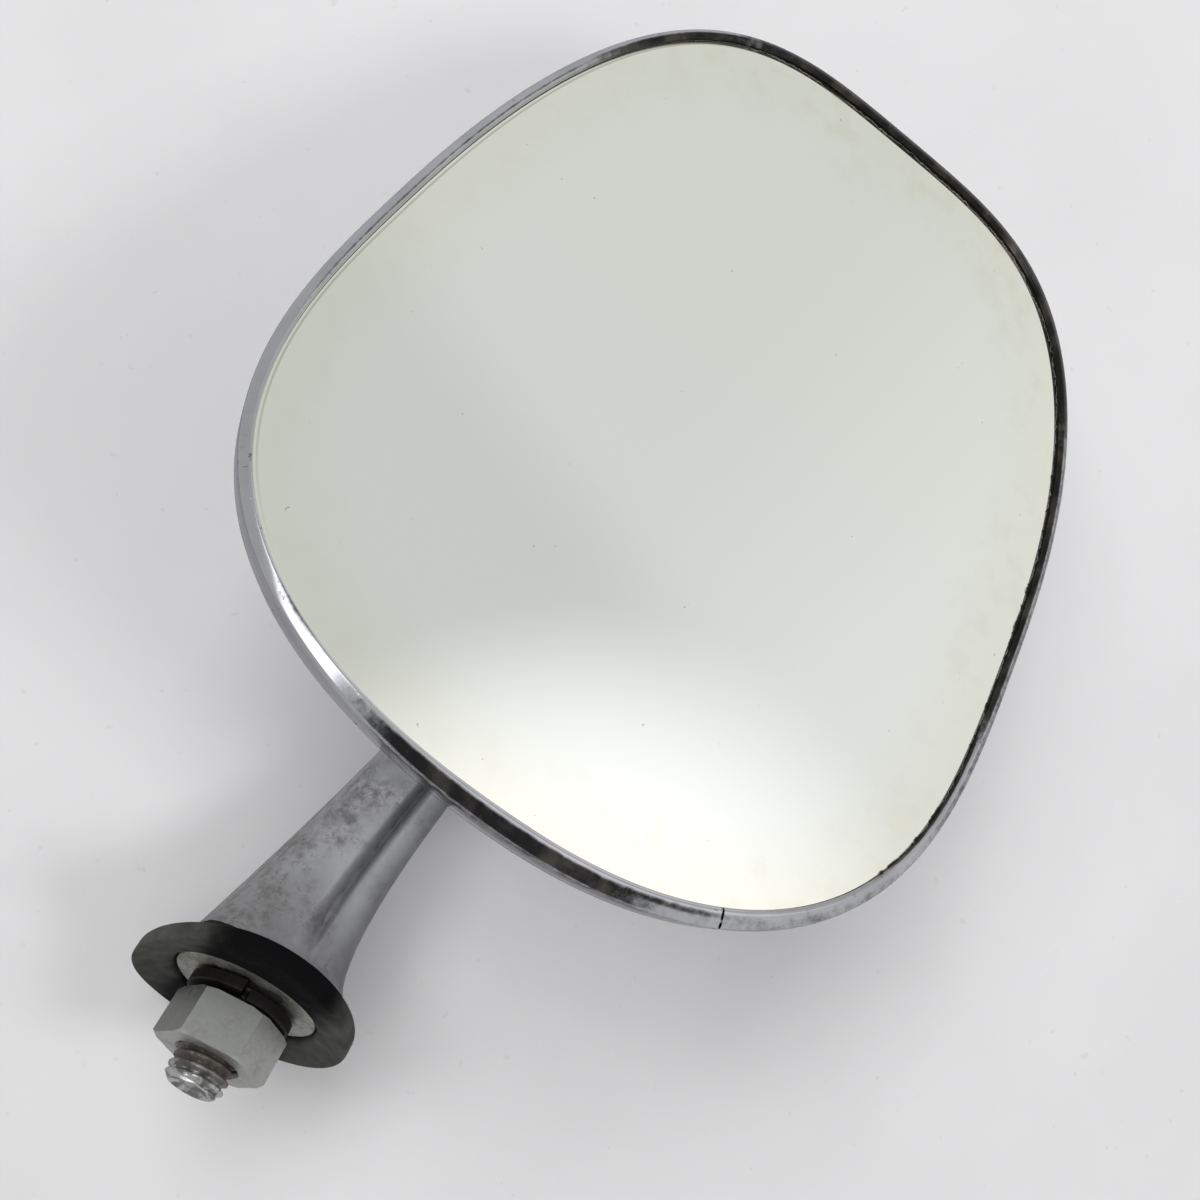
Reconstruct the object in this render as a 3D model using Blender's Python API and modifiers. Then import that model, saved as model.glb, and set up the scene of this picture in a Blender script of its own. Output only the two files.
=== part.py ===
"""Exterior door mirror: a chrome head on a ball joint, a cast arm and a stud that goes through the panel.

Metres, +Z up. The origin is the centre of the seat on the panel, on the stud's axis. The glass faces -Y.
"""

import math

import bmesh
import bpy
from mathutils import Matrix, Vector

MM = 0.001

# Fits and facets shared by all pieces
SEAT_GAP = 0.3 * MM
THREAD_CLEARANCE = 0.12 * MM
HOLE_CLEARANCE = 0.3 * MM
ROUND_STEPS = 32
OUTLINE_POINTS = 72

# Glass opening: a rounded trapezoid, narrower at the top
OPENING_WIDTH = 114.2 * MM
OPENING_HEIGHT = 130.7 * MM
OUTLINE_TAPER = 0.123
TOP_SIDE_SQUARENESS = 3.49
TOP_END_SQUARENESS = 2.39
BOTTOM_SIDE_SQUARENESS = 2.19
BOTTOM_END_SQUARENESS = 3.11

# How far the pressed outline bows out of the plain trapezoid, in waves round it
FOUR_WAVE_BOW = 0.32 * MM
THREE_WAVE_BOW = 0.22 * MM

# Glass, its seal and its pad
GLASS_THICKNESS = 3.0 * MM
GLASS_EDGE = 0.9 * MM
GLASS_EDGE_ROOM = 0.4 * MM
SEAL_WIDTH = 3.0 * MM
SEAL_THICKNESS = 1.0 * MM
PAD_THICKNESS = 1.7 * MM
PAD_INSET = 0.5 * MM

# Rim bezel: a rolled bead on the glass and a band down the side
BEZEL_WALL = 0.6 * MM
BEZEL_BEAD_HEIGHT = 1.2 * MM
BEZEL_BAND_DEPTH = 6.5 * MM
BEZEL_JOINT_GAP = 0.4 * MM
BEZEL_JOINT_PLACE = 0.085

# Head shell
SHELL_WALL = 1.0 * MM
SHELL_RIM_DEPTH = 9.0 * MM
SHELL_ROUNDNESS = 2.5
SHELL_RINGS = 9
NECK_HOLE_RADIUS = 9.2 * MM

# Ball joint
BALL_RADIUS = 8.0 * MM
BALL_DEPTH = 24.0 * MM
BALL_DROP = 8.0 * MM
LINER_WALL = 1.6 * MM
BALL_BACK_ROOM = 9.0 * MM
NECK_RADIUS = 3.8 * MM
COLLAR_BACK = 15.2 * MM
COLLAR_RADIUS = 5.5 * MM
COLLAR_THICKNESS = 1.2 * MM
SHANK_RADIUS = 3.0 * MM
SHANK_LENGTH = 8.0 * MM
SOCKET_MOUTH_ANGLE = math.radians(52)
SEAT_START_ANGLE = math.radians(53)
SEAT_END_ANGLE = math.radians(78)
CAP_END_ANGLE = math.radians(80)
SOCKET_END_ANGLE = math.radians(86)
SOCKET_RADIUS = 13.0 * MM
FLANGE_RADIUS = 22.0 * MM
FLANGE_THICKNESS = 1.5 * MM

# Spring, its seat and its bridge
SPRING_RADIUS = 5.2 * MM
SPRING_WIRE = 1.0 * MM
SPRING_PITCH = 1.6 * MM
SPRING_TURNS = 2
SPRING_SEAT_WIDTH = 3.2 * MM
SPRING_SEAT_HEIGHT = 0.8 * MM
BRIDGE_WALL = 1.2 * MM
BRIDGE_WIDTH = 12.0 * MM
BRIDGE_LEG_GAP = 2.0 * MM
SCREW_RADIUS = 1.5 * MM
SCREW_HEAD_RADIUS = 2.3 * MM
SCREW_HEAD_HEIGHT = 1.8 * MM

# Place and lean of the head over the seat
ARM_SWEEP = 8.1 * MM
ARM_REACH = 61.5 * MM
ARM_RISE = 80.0 * MM
HEAD_TILT = math.radians(17.9)

# Arm casting
ARM_FOOT_WIDTH = 27.0 * MM
ARM_FOOT_DEPTH = 34.0 * MM
ARM_END_WIDTH = 12.8 * MM
ARM_END_DEPTH = 12.0 * MM
ARM_FLARE = 3.0
ARM_START_PULL = 22.0 * MM
ARM_END_PULL = 28.0 * MM
ARM_END_ANGLE = math.radians(60)
ARM_SQUARENESS = 3.0
ARM_STATIONS = 20
ARM_SECTION_POINTS = 28
FOOT_BOSS_RADIUS = 12.5 * MM
GROOVE_PLACE = 0.30
GROOVE_WIDTH = 2.4 * MM
GROOVE_DEPTH = 1.2 * MM
GROOVE_START = 0.18
ARM_BOSS_RADIUS = 8.0 * MM
ARM_BOSS_DOME = 3.0 * MM
ARM_BOSS_FLOOR = 2.0 * MM
SPOT_FACE_RADIUS = 9.6 * MM
SPOT_FACE_DEPTH = 8.0 * MM

# Set screw in the arm's boss
SET_SCREW_RADIUS = 2.0 * MM
SET_SCREW_SOCKET_RADIUS = 1.1 * MM
SET_SCREW_SOCKET_DEPTH = 1.6 * MM
SET_SCREW_SINK = 0.4 * MM

# Gasket, washers, nut and stud
GASKET_WIDTH = 38.0 * MM
GASKET_LENGTH = 45.0 * MM
GASKET_THICKNESS = 3.5 * MM
PLAIN_WASHER_RADIUS = 12.7 * MM
PLAIN_WASHER_THICKNESS = 1.8 * MM
PLAIN_WASHER_SINK = 0.6 * MM
LOCK_WASHER_RADIUS = 9.2 * MM
LOCK_WASHER_THICKNESS = 2.0 * MM
LOCK_WASHER_LIFT = 0.8 * MM
LOCK_WASHER_SPLIT = math.radians(8)
LOCK_WASHER_SPLIT_AT = math.radians(262)
NUT_ACROSS_FLATS = 17.0 * MM
NUT_HEIGHT = 8.0 * MM
NUT_CHAMFER = math.radians(30)
NUT_TURN = math.radians(-13.4)
STUD_RADIUS = 5.0 * MM
STUD_PITCH = 1.5 * MM
STUD_THREAD_DEPTH = 0.9 * MM
STUD_SHOWN = 4.9 * MM
STUD_ENGAGED = 16.0 * MM

# Heights along the stud, worked out from the stack
FOOT_UNDERSIDE = GASKET_THICKNESS + SEAT_GAP
PLAIN_WASHER_TOP = PLAIN_WASHER_SINK + PLAIN_WASHER_THICKNESS
FOOT_BOSS_END = PLAIN_WASHER_TOP + SEAT_GAP
LOCK_WASHER_TOP = PLAIN_WASHER_SINK - SEAT_GAP
NUT_TOP = LOCK_WASHER_TOP - LOCK_WASHER_THICKNESS - LOCK_WASHER_LIFT - SEAT_GAP
NUT_BOTTOM = NUT_TOP - NUT_HEIGHT
STUD_END = NUT_BOTTOM - STUD_SHOWN
STUD_TOP = FOOT_BOSS_END + STUD_ENGAGED

# Radii of the ball joint's nested spheres
LINER_INNER = BALL_RADIUS + SEAT_GAP
LINER_OUTER = LINER_INNER + LINER_WALL
SOCKET_INNER = LINER_OUTER + SEAT_GAP

# Depths in the head, from the ball's centre towards the arm
GLASS_FRONT = -BALL_DEPTH
GLASS_BACK = GLASS_FRONT + GLASS_THICKNESS
SEAL_FRONT = GLASS_BACK + SEAT_GAP
SHELL_FRONT = SEAL_FRONT + SEAL_THICKNESS + SEAT_GAP
PAD_FRONT = GLASS_BACK + SEAT_GAP
SOCKET_BACK = BALL_BACK_ROOM - SHELL_WALL - 2 * SEAT_GAP
FLANGE_FRONT = SOCKET_BACK - FLANGE_THICKNESS
BRIDGE_FOOT_BACK = FLANGE_FRONT - SEAT_GAP
BRIDGE_FOOT_FRONT = BRIDGE_FOOT_BACK - BRIDGE_WALL
SPRING_SEAT_FRONT = -(SOCKET_INNER + SPRING_SEAT_HEIGHT)
SPRING_BACK = SPRING_SEAT_FRONT - SEAT_GAP - SPRING_WIRE / 2
SPRING_FRONT = SPRING_BACK - SPRING_PITCH * SPRING_TURNS
BRIDGE_BACK = SPRING_FRONT - SPRING_WIRE / 2 - SEAT_GAP
BRIDGE_FRONT = BRIDGE_BACK - BRIDGE_WALL
ARM_BOSS_FACE = COLLAR_BACK + SEAT_GAP

# Offsets outwards from the glass opening's edge
SEAL_INNER = GLASS_EDGE - SEAL_WIDTH
PAD_EDGE = SEAL_INNER - PAD_INSET
BEZEL_INNER = GLASS_EDGE + GLASS_EDGE_ROOM
BEZEL_OUTER = BEZEL_INNER + BEZEL_WALL
SHELL_EDGE = BEZEL_INNER - SEAT_GAP

BALL_CENTRE = Vector((ARM_SWEEP, -ARM_REACH, ARM_RISE))

for old in list(bpy.data.objects):
    bpy.data.objects.remove(old, do_unlink=True)

PARTS = bpy.data.collections.new("door_mirror")
CUTTERS = bpy.data.collections.new("cutters")
bpy.context.scene.collection.children.link(PARTS)
bpy.context.scene.collection.children.link(CUTTERS)


def add_object(name, data, collection=None):
    """Put new data in the scene as a named object."""
    thing = bpy.data.objects.new(name, data)
    (collection or PARTS).objects.link(thing)
    return thing


def as_cutter(thing):
    """Turn an object into a cutter that isn't part of the model."""
    for owner in list(thing.users_collection):
        owner.objects.unlink(thing)
    CUTTERS.objects.link(thing)
    thing.hide_render = True
    thing.display_type = "WIRE"
    return thing


def finish(thing, colour, roughness, metallic):
    """Give an object its own plain material."""
    material = bpy.data.materials.new(thing.name)
    material.use_nodes = True
    shader = material.node_tree.nodes["Principled BSDF"]
    shader.inputs["Base Color"].default_value = (*colour, 1.0)
    shader.inputs["Roughness"].default_value = roughness
    shader.inputs["Metallic"].default_value = metallic
    thing.data.materials.append(material)
    return thing


def smooth(thing, degrees=35):
    """Shade a mesh smooth, with sharp edges kept."""
    thing.data.shade_smooth()
    thing.data.set_sharp_from_angle(angle=math.radians(degrees))
    return thing


def combine(thing, tool, operation):
    """Cut, join or trim an object with another one."""
    as_cutter(tool)
    change = thing.modifiers.new(tool.name, "BOOLEAN")
    change.operation = operation
    change.object = tool
    return thing


def turned(name, profile, closed=False):
    """Turn a profile of (radius, height) points about the object's Z axis."""
    mesh = bpy.data.meshes.new(name)
    points = [(radius, 0.0, height) for radius, height in profile]
    edges = [(i, i + 1) for i in range(len(points) - 1)]
    if closed:
        edges.append((len(points) - 1, 0))
    mesh.from_pydata(points, edges, [])
    thing = add_object(name, mesh)
    screw = thing.modifiers.new("turn", "SCREW")
    screw.steps = ROUND_STEPS
    screw.render_steps = ROUND_STEPS
    screw.use_merge_vertices = True
    screw.merge_threshold = 0.01 * MM
    screw.use_smooth_shade = True
    return thing


def rod(name, radius, low, high):
    """A plain round bar along the object's Z axis."""
    return turned(name, [(0, high), (radius, high), (radius, low), (0, low)])


def flat_outline(name, loops, thickness):
    """A flat plate from closed loops of (x, y) points, centred on its thickness."""
    curve = bpy.data.curves.new(name, "CURVE")
    curve.dimensions = "2D"
    curve.fill_mode = "BOTH"
    curve.extrude = thickness / 2
    for loop in loops:
        spline = curve.splines.new("POLY")
        spline.points.add(len(loop) - 1)
        spline.use_cyclic_u = True
        for point, (x, y) in zip(spline.points, loop):
            point.co = (x, y, 0.0, 1.0)
    return add_object(name, curve)


def as_mesh(thing):
    """Replace a curve object with a welded mesh of the same name and place."""
    bpy.context.view_layer.update()
    evaluated = thing.evaluated_get(bpy.context.evaluated_depsgraph_get())
    mesh = bpy.data.meshes.new_from_object(evaluated)
    weld = bmesh.new()
    weld.from_mesh(mesh)
    bmesh.ops.remove_doubles(weld, verts=weld.verts, dist=0.001 * MM)
    bmesh.ops.recalc_face_normals(weld, faces=weld.faces)
    weld.to_mesh(mesh)
    weld.free()
    name, matrix = thing.name, thing.matrix_world.copy()
    bpy.data.objects.remove(thing, do_unlink=True)
    fresh = add_object(name, mesh)
    fresh.matrix_world = matrix
    return fresh


def loft(name, sections, caps):
    """Skin a row of closed sections that have the same number of points."""
    form = bmesh.new()
    rings = [[form.verts.new(point) for point in section] for section in sections]
    count = len(rings[0])
    for low, high in zip(rings, rings[1:]):
        for i in range(count):
            j = (i + 1) % count
            form.faces.new((low[i], low[j], high[j], high[i]))
    if caps:
        form.faces.new(reversed(rings[0]))
        form.faces.new(rings[-1])
    mesh = bpy.data.meshes.new(name)
    form.to_mesh(mesh)
    form.free()
    return add_object(name, mesh)


def circle(radius, count):
    """Points of a circle, anticlockwise."""
    return [Vector((math.cos(a), math.sin(a))) * radius
            for a in (2 * math.pi * i / count for i in range(count))]


def signed_power(value, power):
    """A power that keeps the sign of its base."""
    return math.copysign(abs(value) ** power, value)


def opening_point(angle):
    """Point (x, z) on the edge of the glass opening."""
    upper = math.sin(angle) > 0
    end = TOP_END_SQUARENESS if upper else BOTTOM_END_SQUARENESS
    side = TOP_SIDE_SQUARENESS if upper else BOTTOM_SIDE_SQUARENESS
    rise = signed_power(math.sin(angle), 2 / end)
    half_width = OPENING_WIDTH / 2 * (1 - OUTLINE_TAPER * rise)
    across = half_width * signed_power(math.cos(angle), 2 / side)
    return Vector((across, OPENING_HEIGHT / 2 * rise))


def outline_bow(share):
    """How far the outline bows out at a share of the way round from the bottom."""
    turn = 2 * math.pi * share
    return FOUR_WAVE_BOW * math.sin(4 * turn) + THREE_WAVE_BOW * math.sin(3 * turn)


def head_outline(offset, count=OUTLINE_POINTS, start=0.0):
    """Even points (x, z) round the opening, moved outwards, measured from the ball's centre."""
    fine = 1440
    dense = [opening_point(2 * math.pi * i / fine - math.pi / 2) for i in range(fine + 1)]
    lengths = [0.0]
    for a, b in zip(dense, dense[1:]):
        lengths.append(lengths[-1] + (b - a).length)
    points = []
    at = 0
    for i in range(count):
        wanted = lengths[-1] * ((i + start * count) % count) / count
        if wanted < lengths[at]:
            at = 0
        while lengths[at + 1] < wanted:
            at += 1
        share = (wanted - lengths[at]) / (lengths[at + 1] - lengths[at])
        points.append(dense[at].lerp(dense[at + 1], share))
    moved = []
    for i, point in enumerate(points):
        along = (points[(i + 1) % count] - points[i - 1]).normalized()
        outwards = offset + outline_bow(i / count + start)
        moved.append(point + Vector((along.y, -along.x)) * outwards + Vector((0.0, BALL_DROP)))
    return moved


def in_head(thing, depth=0.0, facing="flat"):
    """Place a piece in the head, at a depth from the ball's centre towards the arm."""
    turn = {"flat": math.radians(90), "turned": math.radians(-90), "plain": 0.0}[facing]
    thing.parent = ball_centre
    thing.location = (0.0, depth, 0.0)
    thing.rotation_euler = (turn, 0.0, 0.0)
    return thing


def zone(inner, outer, start, end, steps=8):
    """Closed profile of a spherical zone, with angles from the +Z pole."""
    def arc(radius, first, last):
        return [(radius * math.sin(a), radius * math.cos(a))
                for a in (first + (last - first) * i / steps for i in range(steps + 1))]
    return arc(outer, start, end) + arc(inner, end, start)


# The head's frame: at the ball's centre, leaning with the glass
ball_centre = bpy.data.objects.new("ball_centre", None)
PARTS.objects.link(ball_centre)
ball_centre.location = BALL_CENTRE
ball_centre.rotation_euler = (HEAD_TILT, 0.0, 0.0)
bpy.context.view_layer.update()


def make_glass():
    """Silvered glass, its rubber seal and the felt pad behind it."""
    glass = flat_outline("mirror_glass", [head_outline(GLASS_EDGE)], GLASS_THICKNESS)
    in_head(glass, (GLASS_FRONT + GLASS_BACK) / 2)
    finish(glass, (0.80, 0.82, 0.77), 0.05, 1.0)
    seal = flat_outline("glass_seal", [head_outline(GLASS_EDGE), head_outline(SEAL_INNER)], SEAL_THICKNESS)
    in_head(seal, SEAL_FRONT + SEAL_THICKNESS / 2)
    finish(seal, (0.02, 0.02, 0.02), 0.7, 0.0)
    pad = flat_outline("backing_pad", [head_outline(PAD_EDGE)], PAD_THICKNESS)
    in_head(pad, PAD_FRONT + PAD_THICKNESS / 2)
    finish(pad, (0.25, 0.22, 0.18), 0.95, 0.0)


def make_bezel():
    """Chrome band with a rolled bead, swept round the glass and open at its butt joint."""
    lip = -SEAT_GAP
    bead = -BEZEL_BEAD_HEIGHT
    width = BEZEL_OUTER
    profile = [(0.0, lip), (0.08 * width, 0.6 * bead), (0.28 * width, 0.95 * bead), (0.5 * width, bead),
               (0.75 * width, 0.85 * bead), (0.93 * width, 0.5 * bead), (width, 0.0),
               (width, BEZEL_BAND_DEPTH), (BEZEL_INNER, BEZEL_BAND_DEPTH), (BEZEL_INNER, lip)]
    sections = []
    rings = [head_outline(offset, start=BEZEL_JOINT_PLACE) for offset, _ in profile]
    for i in range(OUTLINE_POINTS + 1):
        section = []
        for ring, (_, depth) in zip(rings, profile):
            point = ring[i % OUTLINE_POINTS]
            if i in (0, OUTLINE_POINTS):
                towards = ring[1] if i == 0 else ring[-1]
                point = point + (towards - point).normalized() * BEZEL_JOINT_GAP / 2
            section.append(Vector((point.x, GLASS_FRONT + depth, point.y)))
        sections.append(section)
    bezel = in_head(loft("rim_bezel", sections, True), facing="plain")
    finish(smooth(bezel), (0.72, 0.72, 0.75), 0.12, 1.0)


def make_shell():
    """Pressed back of the head: an open dome from the rim to the neck's hole, with a wall."""
    rim = head_outline(SHELL_EDGE)
    hole = []
    for point in rim:
        hole.append(point.normalized() * NECK_HOLE_RADIUS)
    front, side = SHELL_FRONT, GLASS_FRONT + SHELL_RIM_DEPTH
    sections = [[Vector((p.x, front, p.y)) for p in rim]]
    for ring in range(SHELL_RINGS + 1):
        angle = math.pi / 2 * ring / SHELL_RINGS
        inwards = 1 - abs(math.cos(angle)) ** (2 / SHELL_ROUNDNESS)
        depth = side + (BALL_BACK_ROOM - side) * math.sin(angle) ** (2 / SHELL_ROUNDNESS)
        if ring == SHELL_RINGS:
            inwards = 1.0
        sections.append([Vector((p.x + (h.x - p.x) * inwards, depth, p.y + (h.y - p.y) * inwards))
                         for p, h in zip(rim, hole)])
    shell = in_head(loft("head_shell", sections[::-1], False), facing="plain")
    wall = shell.modifiers.new("wall", "SOLIDIFY")
    wall.thickness = SHELL_WALL
    wall.offset = -1.0
    finish(smooth(shell, 60), (0.70, 0.70, 0.73), 0.15, 1.0)


def make_ball_joint():
    """Ball stud, the liners on both sides of the ball and the socket ring in the shell."""
    ball_points = []
    neck_angle = math.asin(NECK_RADIUS / BALL_RADIUS)
    for i in range(13):
        angle = neck_angle + (math.pi - neck_angle) * i / 12
        ball_points.append((BALL_RADIUS * math.sin(angle), BALL_RADIUS * math.cos(angle)))
    ball_points[-1] = (0.0, -BALL_RADIUS)
    shank_end = COLLAR_BACK + SHANK_LENGTH
    profile = [(0.0, shank_end), (SHANK_RADIUS, shank_end), (SHANK_RADIUS, COLLAR_BACK),
               (COLLAR_RADIUS, COLLAR_BACK), (COLLAR_RADIUS, COLLAR_BACK - COLLAR_THICKNESS),
               (NECK_RADIUS, COLLAR_BACK - COLLAR_THICKNESS)] + ball_points
    stud = in_head(turned("ball_stud", profile), facing="turned")
    finish(stud, (0.50, 0.50, 0.50), 0.3, 1.0)

    seat = turned("ball_seat", zone(LINER_INNER, LINER_OUTER, SEAT_START_ANGLE, SEAT_END_ANGLE), closed=True)
    finish(in_head(seat, facing="turned"), (0.75, 0.72, 0.62), 0.5, 0.0)

    steps = 8
    angles = [CAP_END_ANGLE * i / steps for i in range(steps + 1)]
    outside = [(LINER_OUTER * math.sin(a), LINER_OUTER * math.cos(a)) for a in angles]
    inside = [(LINER_INNER * math.sin(a), LINER_INNER * math.cos(a)) for a in reversed(angles)]
    cap = turned("friction_cap", outside + inside)
    cap.parent = ball_centre
    cap.rotation_euler = (math.radians(90), 0.0, 0.0)
    finish(cap, (0.45, 0.40, 0.30), 0.4, 1.0)

    arc = []
    for i in range(9):
        angle = SOCKET_END_ANGLE + (SOCKET_MOUTH_ANGLE - SOCKET_END_ANGLE) * i / 8
        arc.append((SOCKET_INNER * math.sin(angle), SOCKET_INNER * math.cos(angle)))
    mouth = arc[-1][0]
    profile = [(mouth, SOCKET_BACK), (FLANGE_RADIUS, SOCKET_BACK), (FLANGE_RADIUS, FLANGE_FRONT),
               (SOCKET_RADIUS, FLANGE_FRONT), (SOCKET_RADIUS, arc[0][1])] + arc
    socket = in_head(turned("socket_ring", profile, closed=True), facing="turned")
    finish(socket, (0.45, 0.45, 0.46), 0.4, 1.0)
    for side in (1, -1):
        drill = rod("socket_drill", SCREW_RADIUS + HOLE_CLEARANCE, FLANGE_FRONT - SEAT_GAP, SOCKET_BACK + SEAT_GAP)
        drill.parent = ball_centre
        drill.rotation_euler = (math.radians(-90), 0.0, 0.0)
        drill.location = (side * screw_place(), 0.0, 0.0)
        combine(socket, drill, "DIFFERENCE")


def bridge_leg_inner():
    """Distance of the bridge's legs from its middle."""
    return SOCKET_RADIUS + BRIDGE_LEG_GAP


def screw_place():
    """Distance of the bridge's screws from its middle."""
    return bridge_leg_inner() + BRIDGE_WALL + SEAT_GAP + SCREW_HEAD_RADIUS + SEAT_GAP


def make_spring():
    """Friction spring on its seat, under a bent strap with two screws."""
    inner = SPRING_RADIUS - SPRING_SEAT_WIDTH / 2
    outer = SPRING_RADIUS + SPRING_SEAT_WIDTH / 2
    first, last = math.asin(inner / SOCKET_INNER), math.asin(outer / SOCKET_INNER)
    hollow = []
    for i in range(5):
        angle = last + (first - last) * i / 4
        hollow.append((SOCKET_INNER * math.sin(angle), SOCKET_INNER * math.cos(angle)))
    seat = turned("spring_seat", [(inner, -SPRING_SEAT_FRONT), (outer, -SPRING_SEAT_FRONT)] + hollow, closed=True)
    seat.parent = ball_centre
    seat.rotation_euler = (math.radians(90), 0.0, 0.0)
    finish(seat, (0.50, 0.50, 0.50), 0.4, 1.0)

    per_turn = 20
    coil = []
    for i in range(SPRING_TURNS * per_turn + 1):
        angle = 2 * math.pi * i / per_turn
        coil.append(Vector((SPRING_RADIUS * math.cos(angle), SPRING_BACK - SPRING_PITCH * i / per_turn,
                            SPRING_RADIUS * math.sin(angle))))
    least = min((a - b).length for i, a in enumerate(coil) for b in coil[i + per_turn // 2:])
    print("friction_spring least gap, mm:", round((least - SPRING_WIRE) / MM, 2))
    curve = bpy.data.curves.new("friction_spring", "CURVE")
    curve.dimensions = "3D"
    curve.bevel_depth = SPRING_WIRE / 2
    curve.bevel_resolution = 1
    curve.use_fill_caps = True
    spline = curve.splines.new("POLY")
    spline.points.add(len(coil) - 1)
    for point, place in zip(spline.points, coil):
        point.co = (*place, 1.0)
    spring = in_head(add_object("friction_spring", curve), facing="plain")
    finish(spring, (0.35, 0.33, 0.30), 0.35, 1.0)

    leg = bridge_leg_inner()
    out = leg + BRIDGE_WALL
    foot = screw_place() + SCREW_HEAD_RADIUS
    right = [(foot, BRIDGE_FOOT_FRONT), (foot, BRIDGE_FOOT_BACK), (leg, BRIDGE_FOOT_BACK), (leg, BRIDGE_BACK)]
    left = [(-x, y) for x, y in reversed(right)]
    top = [(-out, BRIDGE_FRONT), (out, BRIDGE_FRONT), (out, BRIDGE_FOOT_FRONT)]
    strap = right + left + [(-out, BRIDGE_FOOT_FRONT)] + top
    bridge = as_mesh(flat_outline("spring_bridge", [strap], BRIDGE_WIDTH))
    in_head(bridge, facing="plain")
    finish(bridge, (0.50, 0.47, 0.40), 0.4, 1.0)
    for side in (1, -1):
        drill = rod("bridge_drill", SCREW_RADIUS + HOLE_CLEARANCE,
                    BRIDGE_FOOT_FRONT - SEAT_GAP, BRIDGE_FOOT_BACK + SEAT_GAP)
        drill.parent = ball_centre
        drill.rotation_euler = (math.radians(-90), 0.0, 0.0)
        drill.location = (side * screw_place(), 0.0, 0.0)
        combine(bridge, drill, "DIFFERENCE")

    head_back = BRIDGE_FOOT_FRONT - SEAT_GAP
    head_front = head_back - SCREW_HEAD_HEIGHT
    profile = [(0.0, SOCKET_BACK), (SCREW_RADIUS, SOCKET_BACK), (SCREW_RADIUS, head_back),
               (SCREW_HEAD_RADIUS, head_back), (SCREW_HEAD_RADIUS, head_front), (0.0, head_front)]
    for name, side in (("bridge_screw_left", -1), ("bridge_screw_right", 1)):
        screw = in_head(turned(name, profile), facing="turned")
        screw.modifiers["turn"].steps = ROUND_STEPS // 2
        screw.modifiers["turn"].render_steps = ROUND_STEPS // 2
        screw.location = (side * screw_place(), 0.0, 0.0)
        finish(screw, (0.55, 0.50, 0.38), 0.35, 1.0)


def arm_place(t):
    """Point, side axis and back axis of the arm's path at t from 0 to 1."""
    start = Vector((0.0, 0.0, FOOT_UNDERSIDE))
    back = Matrix.Rotation(HEAD_TILT, 3, "X") @ Vector((0.0, 1.0, 0.0))
    end = BALL_CENTRE + back * (ARM_BOSS_FACE + SHANK_LENGTH / 2)
    heading = Vector((0.0, -math.cos(ARM_END_ANGLE), math.sin(ARM_END_ANGLE)))
    pull_start = start + Vector((0.0, 0.0, ARM_START_PULL))
    pull_end = end - heading * ARM_END_PULL
    u = 1 - t
    point = start * u ** 3 + pull_start * 3 * u * u * t + pull_end * 3 * u * t * t + end * t ** 3
    slope = ((pull_start - start) * u * u + (pull_end - pull_start) * 2 * u * t + (end - pull_end) * t * t)
    slope.normalize()
    side = Vector((1.0, 0.0, 0.0))
    side = (side - slope * side.dot(slope)).normalized()
    return point, side, slope.cross(side)


def arm_section(t):
    """Closed section of the arm at t, with the groove in its front."""
    point, side, back = arm_place(t)
    flare = (1 - t) ** ARM_FLARE
    width = ARM_END_WIDTH / 2 + (ARM_FOOT_WIDTH - ARM_END_WIDTH) / 2 * flare
    depth = ARM_END_DEPTH / 2 + (ARM_FOOT_DEPTH - ARM_END_DEPTH) / 2 * flare
    fade = min(1.0, max(0.0, (t - GROOVE_START / 2) / GROOVE_START))
    groove_angle = -math.acos(GROOVE_PLACE ** (ARM_SQUARENESS / 2))
    spread = GROOVE_WIDTH / 2 / width
    angles = [2 * math.pi * i / ARM_SECTION_POINTS - math.pi for i in range(ARM_SECTION_POINTS)]
    angles = [a for a in angles if abs(a - groove_angle) > 1.5 * GROOVE_WIDTH / ARM_END_WIDTH]
    angles += [groove_angle - spread, groove_angle, groove_angle + spread]
    section = []
    for angle in sorted(angles):
        x = width * signed_power(math.cos(angle), 2 / ARM_SQUARENESS)
        y = depth * signed_power(math.sin(angle), 2 / ARM_SQUARENESS)
        if angle == groove_angle:
            y += GROOVE_DEPTH * fade
        section.append(point + side * x + back * y)
    return section


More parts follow.
